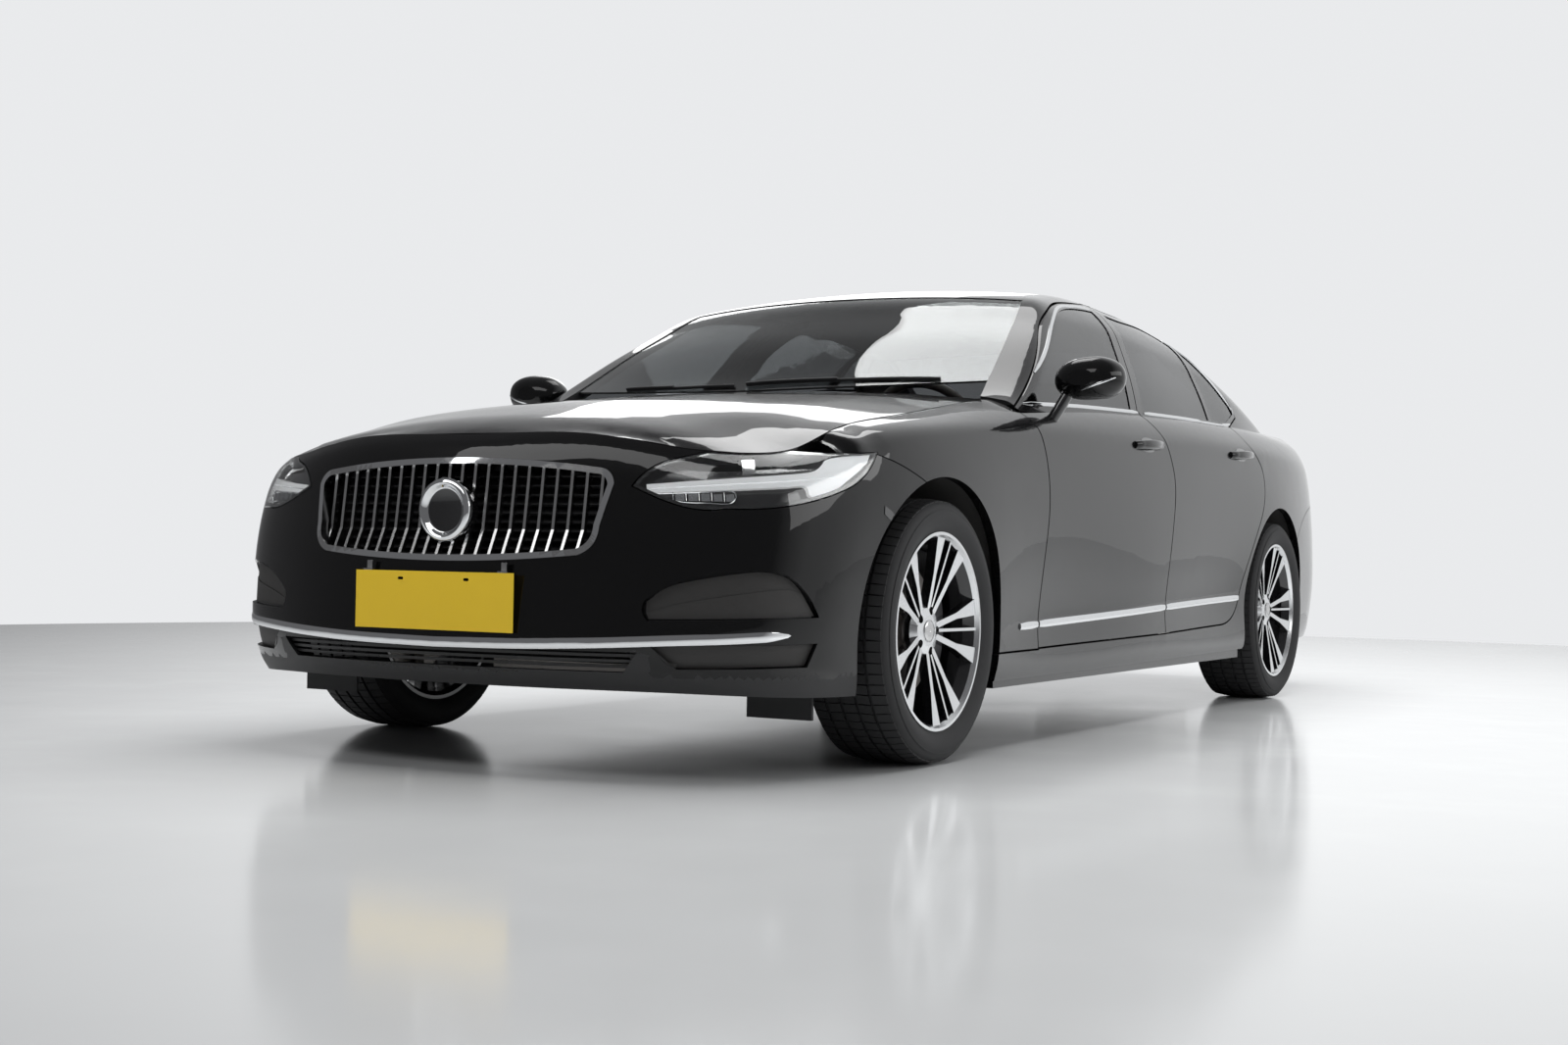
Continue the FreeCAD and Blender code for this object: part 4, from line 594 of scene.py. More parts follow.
def repeat_tree(name, kind):
    """A tree that sets a piece round a ring or along a row and realises it."""
    found = bpy.data.node_groups.get(name)
    if found:
        return found
    tree = bpy.data.node_groups.new(name, "GeometryNodeTree")
    tree.interface.new_socket("Geometry", in_out="OUTPUT", socket_type="NodeSocketGeometry")
    for label, socket in (("Count", "Int"), ("Radius", "Float"), ("Step", "Vector"), ("Piece", "Object"),
                          ("Finish", "Material")):
        tree.interface.new_socket(label, in_out="INPUT", socket_type="NodeSocket" + socket)
    start, end = tree.nodes.new("NodeGroupInput"), tree.nodes.new("NodeGroupOutput")
    info = tree.nodes.new("GeometryNodeObjectInfo")
    place = tree.nodes.new("GeometryNodeInstanceOnPoints")
    real = tree.nodes.new("GeometryNodeRealizeInstances")
    finish = tree.nodes.new("GeometryNodeSetMaterial")
    link = tree.links.new
    if kind == "ring":
        base = tree.nodes.new("GeometryNodeMeshCircle")
        link(start.outputs["Count"], base.inputs["Vertices"])
        link(start.outputs["Radius"], base.inputs["Radius"])
        index = tree.nodes.new("GeometryNodeInputIndex")
        part = tree.nodes.new("ShaderNodeMath")
        part.operation = "DIVIDE"
        turn = tree.nodes.new("ShaderNodeMath")
        turn.operation = "MULTIPLY"
        turn.inputs[1].default_value = 2 * math.pi
        angles = tree.nodes.new("ShaderNodeCombineXYZ")
        link(index.outputs[0], part.inputs[0])
        link(start.outputs["Count"], part.inputs[1])
        link(part.outputs[0], turn.inputs[0])
        link(turn.outputs[0], angles.inputs["Z"])
        link(angles.outputs[0], place.inputs["Rotation"])
    else:
        base = tree.nodes.new("GeometryNodeMeshLine")
        link(start.outputs["Count"], base.inputs["Count"])
        link(start.outputs["Step"], base.inputs["Offset"])
    link(base.outputs["Mesh"], place.inputs["Points"])
    link(start.outputs["Piece"], info.inputs["Object"])
    link(info.outputs["Geometry"], place.inputs["Instance"])
    link(place.outputs["Instances"], real.inputs["Geometry"])
    link(real.outputs["Geometry"], finish.inputs["Geometry"])
    link(start.outputs["Finish"], finish.inputs["Material"])
    link(finish.outputs["Geometry"], end.inputs["Geometry"])
    return tree


def repeated(kind, part, count, finish, radius=0.0, step=(0, 0, 0)):
    """The mesh of one part set round a ring about Z or along a row."""
    single = bpy.data.meshes.new("single")
    single.from_pydata([tuple(p) for p in part[0]], [], part[1])
    seed = bpy.data.objects.new("seed", single)
    bpy.context.scene.collection.objects.link(seed)
    holder = bpy.data.objects.new("holder", bpy.data.meshes.new("holder"))
    bpy.context.scene.collection.objects.link(holder)
    tree = repeat_tree("set_in_" + kind, kind)
    layer = holder.modifiers.new("repeat", "NODES")
    layer.node_group = tree
    values = {"Count": count, "Radius": radius, "Step": step, "Piece": seed, "Finish": stock(finish)}
    for item in tree.interface.items_tree:
        if item.in_out == "INPUT":
            layer[item.identifier] = values[item.name]
    bpy.context.view_layer.update()
    mesh = bpy.data.meshes.new_from_object(holder.evaluated_get(bpy.context.evaluated_depsgraph_get()))
    holder.modifiers.remove(layer)
    for thing in (holder, seed):
        bpy.data.objects.remove(thing)
    mesh.materials.clear()
    mesh.materials.append(stock(finish))
    return mesh


# Settings

class CarFinishSettings(bpy.types.PropertyGroup):
    """Colours of the car."""
    body_colour: bpy.props.FloatVectorProperty(
        name="Body colour", description="Base colour under the clear coat", subtype="COLOR", size=3,
        min=0, max=1, default=(0.0022, 0.0022, 0.0024))
    glass_tint: bpy.props.FloatVectorProperty(
        name="Side glass tint", description="Colour of the side and rear panes", subtype="COLOR", size=3,
        min=0, max=1, default=(0.10, 0.105, 0.11))
    screen_tint: bpy.props.FloatVectorProperty(
        name="Windscreen tint", description="Colour of the windscreen", subtype="COLOR", size=3,
        min=0, max=1, default=(0.34, 0.36, 0.36))
    plate_colour: bpy.props.FloatVectorProperty(
        name="Plate colour", description="Colour of the blank number plate", subtype="COLOR", size=3,
        min=0, max=1, default=(1.0, 0.68, 0.035))
    leather_colour: bpy.props.FloatVectorProperty(
        name="Leather colour", description="Colour of the seats", subtype="COLOR", size=3,
        min=0, max=1, default=(0.035, 0.028, 0.024))


class CarTrimSettings(bpy.types.PropertyGroup):
    """Sizes of the trims laid on the body."""
    surround_width: bpy.props.FloatProperty(
        name="Window surround", description="Width of the bright band round the side glass", unit="LENGTH",
        default=0.013, min=0.004, max=0.03)
    strip_height: bpy.props.FloatProperty(
        name="Side strip", description="Height of the bright strip low on the doors", unit="LENGTH",
        default=0.024, min=0.01, max=0.05)
    nose_strip_height: bpy.props.FloatProperty(
        name="Nose strip", description="Height of the bright strip under the plate", unit="LENGTH",
        default=0.028, min=0.01, max=0.05)
    tread_blocks: bpy.props.IntProperty(
        name="Tread blocks", description="Tread blocks round a tyre", default=76, min=24, max=120)
    tread_depth: bpy.props.FloatProperty(
        name="Tread depth", description="Depth of the tyre's grooves", unit="LENGTH",
        default=0.007, min=0.002, max=0.01)
    louvre_pitch: bpy.props.FloatProperty(
        name="Louvre pitch", description="Spacing of the slats behind the grille", unit="LENGTH",
        default=0.022, min=0.01, max=0.05)


class CarStudioSettings(bpy.types.PropertyGroup):
    """Light and floor."""
    floor_radius: bpy.props.FloatProperty(
        name="Floor radius", description="Radius of the pale floor", unit="LENGTH",
        default=7.4, min=4, max=40)
    wall_light: bpy.props.FloatProperty(
        name="Wall light", description="Strength of the pale surroundings", default=0.95, min=0, max=3)
    ceiling_power: bpy.props.FloatProperty(
        name="Ceiling power", description="Power of the large soft light above", unit="POWER",
        default=470.0, min=0, max=3000)


# Operators

# The camera: its lens is known in pixels of a picture of this width
PICTURE_WIDTH = 1600.0
LENS_PIXELS = 2050.3
SENSOR_WIDTH = 36.0
CAMERA_PLACE = (6.32246, 3.10533, 0.54173)
CAMERA_YAW, CAMERA_PITCH, CAMERA_ROLL = (math.radians(a) for a in (209.54, 0.776, 0.960))

# Name, place, turn in degrees, size and power in watts of each lamp but the ceiling
LAMPS = [("screen_box", (-0.95, -0.55, 4.2), (0, 0, 0), (2.0, 1.5), 26.0),
         ("nose_box", (4.6, -0.6, 3.6), (0, 48, 0), (1.4, 4.5), 50.0),
         ("side_box", (0.2, 5.6, 2.6), (-66, 0, 0), (6.0, 1.4), 60.0),
         ("far_box", (-5.2, -3.4, 3.2), (45, -48, 0), (3.0, 3.0), 60.0)]

BRIGHT_WALL = (-0.85, 0.45, -0.25)
WALL_DARK = (0.52, (0.15, 0.15, 0.155, 1))
WALL_LIGHT = (0.74, (0.88, 0.89, 0.9, 1))
BACKDROP = (0.86, 0.87, 0.885, 1)


class CAR_OT_stage(bpy.types.Operator):
    """Sets up the camera, the pale floor and the soft studio light"""
    bl_idname = "car.stage"
    bl_label = "Lay Out Studio"

    def execute(self, context):
        settings = context.scene.car_studio
        self.place_camera(context)
        self.lay_floor(context, settings.floor_radius)
        self.place_lights(context, settings.ceiling_power)
        self.fill_world(context, settings.wall_light)
        context.scene.view_settings.view_transform = "Standard"
        return {"FINISHED"}

    def place_camera(self, context):
        """Low in front of the left corner, turned by the yaw, pitch and roll above."""
        lens = bpy.data.cameras.new("photo_camera")
        lens.sensor_width = SENSOR_WIDTH
        lens.lens = LENS_PIXELS * SENSOR_WIDTH / PICTURE_WIDTH
        lens.clip_end = 200.0
        camera = bpy.data.objects.new("photo_camera", lens)
        context.scene.collection.objects.link(camera)
        level = math.cos(CAMERA_PITCH)
        ahead = Vector((math.cos(CAMERA_YAW) * level, math.sin(CAMERA_YAW) * level, math.sin(CAMERA_PITCH)))
        right = Vector((math.sin(CAMERA_YAW), -math.cos(CAMERA_YAW), 0))
        up = right.cross(ahead)
        leaned_right = right * math.cos(CAMERA_ROLL) + up * math.sin(CAMERA_ROLL)
        leaned_up = up * math.cos(CAMERA_ROLL) - right * math.sin(CAMERA_ROLL)
        turn = Matrix((leaned_right, leaned_up, -ahead)).transposed().to_4x4()
        camera.matrix_world = Matrix.Translation(CAMERA_PLACE) @ turn
        context.scene.camera = camera

    def lay_floor(self, context, radius):
        """A round floor under the car, whose top lies at height zero."""
        points, faces = lathe([(0.0, 0.0), (0.0, radius), (-0.05, radius), (-0.05, 0.0)], 128)
        mesh = bpy.data.meshes.new("studio_floor")
        turn = Matrix.Rotation(math.radians(90), 4, "X")
        mesh.from_pydata([tuple(turn @ p + Vector((-0.3, 0, 0))) for p in points], [], faces)
        mesh.materials.append(stock("floor_tile"))
        shape = bmesh.new()
        shape.from_mesh(mesh)
        bmesh.ops.remove_doubles(shape, verts=shape.verts, dist=0.0001)
        bmesh.ops.recalc_face_normals(shape, faces=shape.faces)
        shape.to_mesh(mesh)
        shape.free()
        floor = bpy.data.objects.new("studio_floor", mesh)
        context.scene.collection.objects.link(floor)

    def place_lights(self, context, ceiling_power):
        """A wide ceiling and four softboxes."""
        ceiling = ("ceiling", (-0.4, 0.3, 5.2), (0, 0, 0), (6.5, 4.2), ceiling_power)
        for name, place, turn, size, power in [ceiling] + LAMPS:
            lamp = bpy.data.lights.new(name, "AREA")
            lamp.shape = "RECTANGLE"
            lamp.size, lamp.size_y = size
            lamp.energy = power
            light = bpy.data.objects.new(name, lamp)
            light.location = place
            light.rotation_euler = Euler([math.radians(a) for a in turn])
            # The ceiling lights the car but isn't mirrored in its paint
            light.visible_glossy = name != "ceiling"
            context.scene.collection.objects.link(light)

    def fill_world(self, context, strength):
        """Surroundings that are pale on one side for reflections, and pale all round for the camera."""
        world = bpy.data.worlds.new("studio")
        world.use_nodes = True
        tree = world.node_tree
        place = add_node(tree, "TexCoord")
        lean = add_node(tree, "VectorMath", {0: place.outputs["Generated"]}, {1: BRIGHT_WALL},
                        operation="DOT_PRODUCT")
        shift = add_node(tree, "MapRange", {"Value": lean.outputs["Value"]}, {"From Min": -1.0})
        ramp = add_node(tree, "ValToRGB", {"Fac": shift.outputs["Result"]})
        for stop, (position, colour) in zip(ramp.color_ramp.elements, (WALL_DARK, WALL_LIGHT)):
            stop.position = position
            stop.color = colour
        paths = add_node(tree, "LightPath")
        seen = add_node(tree, "Mix", {"Factor": paths.outputs["Is Camera Ray"], 6: ramp.outputs["Color"]},
                        {7: BACKDROP}, data_type="RGBA")
        back = tree.nodes["Background"]
        tree.links.new(seen.outputs[2], back.inputs["Color"])
        back.inputs["Strength"].default_value = strength
        context.scene.world = world


# Heights and places that part one finish from the next, in metres
CABIN_MIDDLE_Z = 0.7
CABIN_HALF = 1.7
ENDS_START = 1.9
DOOR_TRIM_TOP = 0.97
LIP_TOP = 0.245
OUTLET_TOP, OUTLET_REACH, OUTLET_FRONT = 0.303, 0.56, NOSE - 0.03


def faces_in(centre, normal):
    """Tells whether a face looks into the car rather than out of it."""
    away = Vector((0, centre.y, centre.z - CABIN_MIDDLE_Z))
    if abs(centre.x) > ENDS_START:
        away.x = centre.x - math.copysign(CABIN_HALF, centre.x)
    return normal.dot(away.normalized()) < -0.25


def inner_side(centre, normal):
    """First finish outside, second inside."""
    return 1 if faces_in(centre, normal) else 0


def nose_side(centre, normal):
    """First finish outside, second inside, on the low lip and in the air outlet."""
    outlet = centre.z < OUTLET_TOP and abs(centre.y) < OUTLET_REACH and centre.x < OUTLET_FRONT
    return 1 if centre.z < LIP_TOP or outlet or faces_in(centre, normal) else 0


def door_side(centre, normal):
    """First finish outside, second on the inner trim and third round the window."""
    if not faces_in(centre, normal):
        return 0
    return 1 if centre.z < DOOR_TRIM_TOP else 2


class CAR_OT_paintwork(bpy.types.Operator):
    """Paints the outer panels and lines their insides"""
    bl_idname = "car.paintwork"
    bl_label = "Paint Panels"

    def execute(self, context):
        for side in ("left", "right"):
            for row in ("front", "rear"):
                dress("door_" + row + "_" + side, ["paint", "soft_trim", "dark_plastic"], door_side)
            dress("side_frame_" + side, ["paint", "dark_plastic"], inner_side)
            dress("fender_" + side, ["paint", "underbody"], inner_side)
        for node, lining, pick in (("roof_panel", "headliner", inner_side),
                                   ("bonnet", "dark_plastic", inner_side),
                                   ("boot_lid", "dark_plastic", inner_side),
                                   ("front_bumper", "dark_plastic", nose_side),
                                   ("rear_bumper", "dark_plastic", inner_side)):
            dress(node, ["paint", lining], pick)
        return {"FINISHED"}


class CAR_OT_glazing(bpy.types.Operator):
    """Tints the panes"""
    bl_idname = "car.glazing"
    bl_label = "Glaze Windows"

    def execute(self, context):
        coat("windscreen", "screen_glass")
        coat("rear_window", "window_glass")
        for place in ("front_door", "rear_door"):
            for side in ("left", "right"):
                coat("glass_" + place + "_" + side, "window_glass")
        return {"FINISHED"}


LENS = ("headlamp_lenses",)

# Outlines inside the left headlamp, lower edge and upper edge, in the corner view
UPPER_BAR = ([(-1.549, 0.680), (-1.470, 0.6865), (-1.364, 0.695), (-1.248, 0.704), (-1.160, 0.712),
              (-1.060, 0.726), (-1.000, 0.752)],
             [(-1.549, 0.690), (-1.468, 0.698), (-1.362, 0.708), (-1.245, 0.719), (-1.160, 0.731),
              (-1.110, 0.764), (-0.985, 0.776)])
LOWER_BAR = ([(-1.549, 0.669), (-1.470, 0.674), (-1.364, 0.681), (-1.245, 0.689), (-1.190, 0.692),
              (-1.176, 0.668), (-1.130, 0.668)],
             [(-1.549, 0.6775), (-1.470, 0.684), (-1.364, 0.6925), (-1.248, 0.7015), (-1.165, 0.709),
              (-1.080, 0.722), (-1.010, 0.745)])
REFLECTOR = ([(-1.343, 0.715), (-1.313, 0.717)], [(-1.335, 0.756), (-1.304, 0.757)])
SHELF = ([(-1.470, 0.7005), (-1.362, 0.7105), (-1.250, 0.7215), (-1.170, 0.730)],
         [(-1.468, 0.703), (-1.360, 0.713), (-1.248, 0.724), (-1.172, 0.7325)])
CELL_RIM = [(-1.535, 0.667), (-1.483, 0.650), (-1.430, 0.648), (-1.373, 0.649), (-1.369, 0.677),
            (-1.45, 0.672), (-1.52, 0.668)]
CELL_START, CELL_PITCH, CELL_COUNT = -1.497, 0.027, 5
CELL_DEPTH = 0.012

# The side marker beside the front wheel, in the left view
MARKER = ([(1.962, 0.632), (1.925, 0.612), (1.897, 0.600)], [(1.962, 0.652), (1.925, 0.636), (1.897, 0.604)])


class CAR_OT_lamps(bpy.types.Operator):
    """Fits the headlamps' light bars and cells, the side markers and the tail lamps"""
    bl_idname = "car.lamps"
    bl_label = "Fit Lamps"

    def execute(self, context):
        coat("headlamp_lenses", "lens_glass")
        coat("headlamp_trays", "lamp_housing")
        coat("tail_lamps", "red_glass")
        for name, outline in (("light_bar_upper_left", UPPER_BAR), ("light_bar_lower_left", LOWER_BAR)):
            bar = panel(*outline, "corner", LENS, 0.008, 0.020, 60, 5)
            both_sides(name, *bar, ["lamp_white"], "body", "lamp_housing")
        self.fit_cells()
        reflector = panel(*REFLECTOR, "corner", LENS, 0.010, 0.024, 6, 8)
        both_sides("lamp_reflector_left", *reflector, ["satin_chrome"], "body", "chrome")
        shelf = panel(*SHELF, "corner", LENS, 0.006, 0.024, 40, 2)
        both_sides("lamp_shelf_left", *shelf, ["gloss_black"], "body", "lamp_housing")
        marker = panel(*MARKER, "left", ("front_bumper",), -0.0015, 0.002, 12, 3)
        both_sides("side_marker_left", *marker, ["gloss_black"], "body", "lamp_housing")
        return {"FINISHED"}

    def fit_cells(self):
        """The row of bright cells at the lamp's inner end, with a thin frame round it."""
        run = lifted(traced(CELL_RIM, "corner", LENS, 0.006, True), -CELL_DEPTH)
        frame_bead = bead(run, 0.003, 0.003, closed=True)
        both_sides("lamp_cell_frame_left", *frame_bead, ["chrome"], "body", "chrome")
        cells = []
        for i in range(CELL_COUNT):
            a = CELL_START + i * CELL_PITCH
            upright = [(a, 0.652 + k * 0.0025) for k in range(9)]
            cells.append(bead(lifted(laid(upright, "corner", LENS), -CELL_DEPTH), 0.0028, 0.006))
            low = [(a + 0.004, 0.6535), (a + 0.023, 0.6535)]
            top = [(a + 0.004, 0.6700), (a + 0.023, 0.6715)]
            cells.append(panel(low, top, "corner", LENS, 0.014, 0.022, 4, 4))
        both_sides("lamp_cells_left", *joined(*cells), ["chrome"], "body", "chrome")


# The grille's opening, its slats and its boss
BARS_HALF_WIDTH = 0.42
BARS_LOW, BARS_TOP = 0.524, 0.732
SLAT_PLACE = Vector((2.392, 0, 0.518))
SLAT_LEAN = math.radians(24)
SLATS_HEIGHT = 0.225
BOSS_DISH = 0.053

# Half section of the boss, as distance in front of the grille and radius
BOSS_SECTION = [(0.002, 0.0), (0.002, 0.052), (0.004, 0.056), (0.011, 0.060), (0.014, 0.066),
                (0.012, 0.073), (0.006, 0.078), (-0.004, 0.079), (-0.010, 0.076), (-0.010, 0.0)]


class CAR_OT_grille(bpy.types.Operator):
    """Finishes the grille's frame and bars and sets slats and a blank boss in it"""
    bl_idname = "car.grille"
    bl_label = "Finish Grille"

    def execute(self, context):
        def pick(centre, normal):
            faces_front = abs(normal.z) + abs(normal.y) < 0.3
            if faces_front and math.hypot(centre.y, centre.z - BOSS_Z) < 0.06:
                return 2
            inside = abs(centre.y) < BARS_HALF_WIDTH and BARS_LOW < centre.z < BARS_TOP
            return 1 if inside or abs(normal.y) > 0.9 else 0

        dress("grille", ["chrome", "satin_chrome", "gloss_black"], pick)
        pitch = settings_of("trim").louvre_pitch
        slat = box_points((2.372, 2.412), (-0.40, 0.40), (0.516, 0.519), 0.001)
        lean = Matrix.Translation(SLAT_PLACE) @ Matrix.Rotation(SLAT_LEAN, 4, "Y") \
            @ Matrix.Translation(-SLAT_PLACE)
        mesh = repeated("row", moved(slat, lean), int(SLATS_HEIGHT / pitch), "dark_plastic",
                        step=(0, 0, pitch))
        settle("grille_slats", mesh, "body", "dark_plastic")
        self.set_boss()
        return {"FINISHED"}

    def set_boss(self):
        """A plain round boss with a dark dish, in front of the bars."""
        middle = Vector((0, 0, BOSS_Z))
        front = hit("front", ("grille",), 0.0, BOSS_Z)[0].x
        points, faces = lathe([(-a, r) for a, r in BOSS_SECTION], 96)
        turn = Matrix.Translation((front, 0, BOSS_Z)) @ Matrix.Rotation(math.radians(90), 4, "Z")
        points = [turn @ p for p in points]
        dark = []
        for face in faces:
            centre = Vector((0, sum(points[i].y for i in face), sum(points[i].z for i in face))) / len(face)
            dark.append(0 if (centre - middle).length > BOSS_DISH else 1)
        piece("blank_boss", points, faces, ["chrome", "gloss_black"], "body", "chrome", indices=dark)


class CAR_OT_plate(bpy.types.Operator):
    """Colours the blank plate and adds its clips"""
    bl_idname = "car.plate"
    bl_label = "Fit Plate"

    def execute(self, context):
        dress("number_plate", ["plate_sheet", "dark_plastic"],
              lambda centre, normal: 0 if centre.x > NOSE - 0.0025 else 1)
        clips = []
        for y in (-0.205, 0.205):
            clips.append(box_points((NOSE - 0.008, NOSE - 0.0001), (y - 0.014, y + 0.014), (0.470, 0.480),
                                    0.002))
            clips.append(box_points((NOSE - 0.012, NOSE - 0.008), (y - 0.008, y + 0.008), (0.474, 0.500),
                                    0.0015))
        piece("plate_clips", *joined(*clips), ["satin_chrome"], "body", "steel")
        return {"FINISHED"}


# Edges of the left door panes and the strips, in the left view
FRONT_GLASS_EDGE = [(1.000, 0.978), (0.694, 1.130), (0.354, 1.306), (0.078, 1.354), (-0.104, 1.366)]
REAR_GLASS_EDGE = [(-0.224, 1.368), (-0.500, 1.365), (-0.880, 1.323), (-1.024, 1.231), (-1.162, 1.112)]
REAR_GLASS_TIP = [(-1.162, 1.112), (-1.170, 1.100), (-1.168, 1.086)]
FRONT_SILL_EDGE = [(0.020, 1.0178), (0.092, 1.016), (0.560, 1.000), (1.000, 0.978)]
REAR_SILL_EDGE = [(-1.168, 1.086), (-1.015, 1.042), (-0.500, 1.031), (-0.030, 1.019)]
SIDE_STRIP = [(1.092, 0.337), (0.6, 0.349), (0.2, 0.3605), (-0.096, 0.370), (-0.6, 0.384), (-1.02, 0.395)]

# Left half of the nose strip and the mirror's strip, in the front view
NOSE_STRIP = [(0.0, 0.308), (0.25, 0.312), (0.45, 0.320), (0.60, 0.328), (0.72, 0.334), (0.80, 0.340),
              (0.845, 0.344)]
MIRROR_STRIP = [(0.990, 1.018), (1.040, 1.034), (1.084, 1.052)]


def pushed(points, distance):
    """A run of side-view points moved to its left by a distance."""
    result = []
    for i, (x, z) in enumerate(points):
        ax, az = points[max(i - 1, 0)]
        bx, bz = points[min(i + 1, len(points) - 1)]
        dx, dz = bx - ax, bz - az
        length = math.hypot(dx, dz)
        result.append((x - dz / length * distance, z + dx / length * distance))
    return result


def laid_bead(name, path, node, width, height, tip=0.5, step=0.012):
    """A bright bead on the left side and its twin on the right, cut to the panel that carries it."""
    run = traced(path, "left", (node,), step)
    if len(run) < 3:
        raise RuntimeError("no run for " + name)
    return both_sides(name, *bead(run, width, height, tip=tip), ["chrome"], body_of(node), "chrome")


class CAR_OT_brightwork(bpy.types.Operator):
    """Lays the bright strips and the window surround on the body"""
    bl_idname = "car.brightwork"
    bl_label = "Lay Bright Trim"

    def execute(self, context):
        trim = settings_of("trim")
        wide = trim.surround_width
        off = wide / 2 + 0.001
        for part, edge, row, step in (("front_top", FRONT_GLASS_EDGE, "front", 0.012),
                                      ("front_sill", FRONT_SILL_EDGE, "front", 0.012),
                                      ("rear_top", REAR_GLASS_EDGE, "rear", 0.012),
                                      ("rear_sill", REAR_SILL_EDGE, "rear", 0.012),
                                      ("rear_tip", REAR_GLASS_TIP, "rear", 0.005)):
            laid_bead("surround_" + part + "_left", pushed(edge, -off), "door_" + row + "_left", wide, 0.004,
                      step=step)
        for node, part in (("fender_left", "wing"), ("door_front_left", "front"), ("door_rear_left", "rear")):
            laid_bead("side_strip_" + part + "_left", SIDE_STRIP, node, trim.strip_height, 0.006, tip=0.8)
        half = traced(NOSE_STRIP, "front", ("front_bumper",), 0.012)
        flip = [(Vector((p.x, -p.y, p.z)), Vector((n.x, -n.y, n.z))) for p, n in half[1:]][::-1]
        strip = bead(lifted(flip + half, -0.0038), trim.nose_strip_height, 0.007, tip=0.4)
        piece("nose_strip", *strip, ["chrome"], "body", "chrome")
        strip = bead(traced(MIRROR_STRIP, "front", ("door_mirror_left",), 0.006), 0.007, 0.003, tip=0.5)
        both_sides("mirror_strip_left", *strip, ["chrome"], "door_front_left", "chrome")
        return {"FINISHED"}


# A handle's cross section and length in steps, and how far it stands out
HANDLE_SIDES = 12
HANDLE_STEPS = 26
HANDLE_RISE = 0.034


class CAR_OT_handles(bpy.types.Operator):
    """Fits the four loop door handles and the dishes behind them"""
    bl_idname = "car.handles"
    bl_label = "Fit Door Handles"

    def execute(self, context):
        for row, start, end in (("front", (0.228, 0.893), (-0.020, 0.902)),
                                ("rear", (-0.775, 0.910), (-1.035, 0.920))):
            node = "door_" + row + "_left"
            both_sides("handle_" + row + "_left", *self.loop(node, start, end), ["paint"], node,
                       "body_paint")
            x, z = (start[0] + end[0]) / 2, (start[1] + end[1]) / 2
            low = [(x + 0.075, z), (x + 0.04, z - 0.020), (x - 0.04, z - 0.019), (x - 0.075, z)]
            top = [(x + 0.075, z + 0.001), (x + 0.04, z + 0.022), (x - 0.04, z + 0.023),
                   (x - 0.075, z + 0.001)]
            dish = panel(low, top, "left", (node,), -0.0008, 0.002, 20, 6)
            both_sides("handle_dish_" + row + "_left", *dish, ["gloss_black"], node, "dark_plastic")
        return {"FINISHED"}

    def loop(self, node, start, end):
        """Points and faces of a bar that rises from the door's skin and returns to it."""
        points, faces = [], []
        for i in range(HANDLE_STEPS + 1):
            t = i / HANDLE_STEPS
            x, z = start[0] + (end[0] - start[0]) * t, start[1] + (end[1] - start[1]) * t
            place, normal = hit("left", (node,), x, z)
            rise = HANDLE_RISE * math.sin(math.pi * min(max((t + 0.02) / 1.04, 0), 1)) ** 0.42
            high = 0.0125 + 0.003 * math.sin(math.pi * t)
            deep = 0.008 if 0.12 < t < 0.88 else 0.011
            centre = place + normal * (rise - 0.012)
            for k in range(HANDLE_SIDES):
                angle = 2 * math.pi * k / HANDLE_SIDES
                points.append(centre + Vector((0, 0, 1)) * high * math.sin(angle)
                              + normal * deep * math.cos(angle))
        for i in range(HANDLE_STEPS):
            here, there = i * HANDLE_SIDES, (i + 1) * HANDLE_SIDES
            for k in range(HANDLE_SIDES):
                n = (k + 1) % HANDLE_SIDES
                faces.append([here + k, here + n, there + n, there + k])
        last = HANDLE_STEPS * HANDLE_SIDES
        faces += [list(range(HANDLE_SIDES)), [last + k for k in range(HANDLE_SIDES)][::-1]]
        return points, faces


# Outlines of the pocket and outlet at the left front corner, in the corner view
POCKET_LOW = [(-1.548, 0.377), (-1.45, 0.379), (-1.30, 0.383), (-1.170, 0.388)]
POCKET_CREASE = [(-1.553, 0.392), (-1.472, 0.416), (-1.360, 0.436), (-1.252, 0.449), (-1.206, 0.440)]
POCKET_TOP = [(-1.552, 0.417), (-1.494, 0.4565), (-1.33, 0.4875), (-1.249, 0.477), (-1.209, 0.447)]
OUTLET_LOW = [(-1.545, 0.312), (-1.488, 0.266), (-1.30, 0.270), (-1.188, 0.272)]
OUTLET_TOP_EDGE = [(-1.550, 0.316), (-1.42, 0.318), (-1.28, 0.320), (-1.166, 0.322)]


class CAR_OT_inserts(bpy.types.Operator):
    """Lines the pockets and outlets low in the nose"""
    bl_idname = "car.inserts"
    bl_label = "Line Nose Pockets"

    def execute(self, context):
        for part, low, top, near in (("pocket_insert_low", POCKET_LOW, POCKET_CREASE, -0.0035),
                                     ("pocket_insert_top", POCKET_CREASE, POCKET_TOP, -0.0015),
                                     ("outlet_insert", OUTLET_LOW, OUTLET_TOP_EDGE, -0.0012)):
            lining = panel(low, top, "corner", ("front_bumper",), near, 0.003, 40, 6)
            both_sides(part + "_left", *lining, ["matte_insert"], "body", "dark_plastic")
        return {"FINISHED"}


# Where the mirror's stalk ends and its glass lies
STALK_TOP, STALK_END = 1.000, 0.99
MIRROR_BACK = 0.775


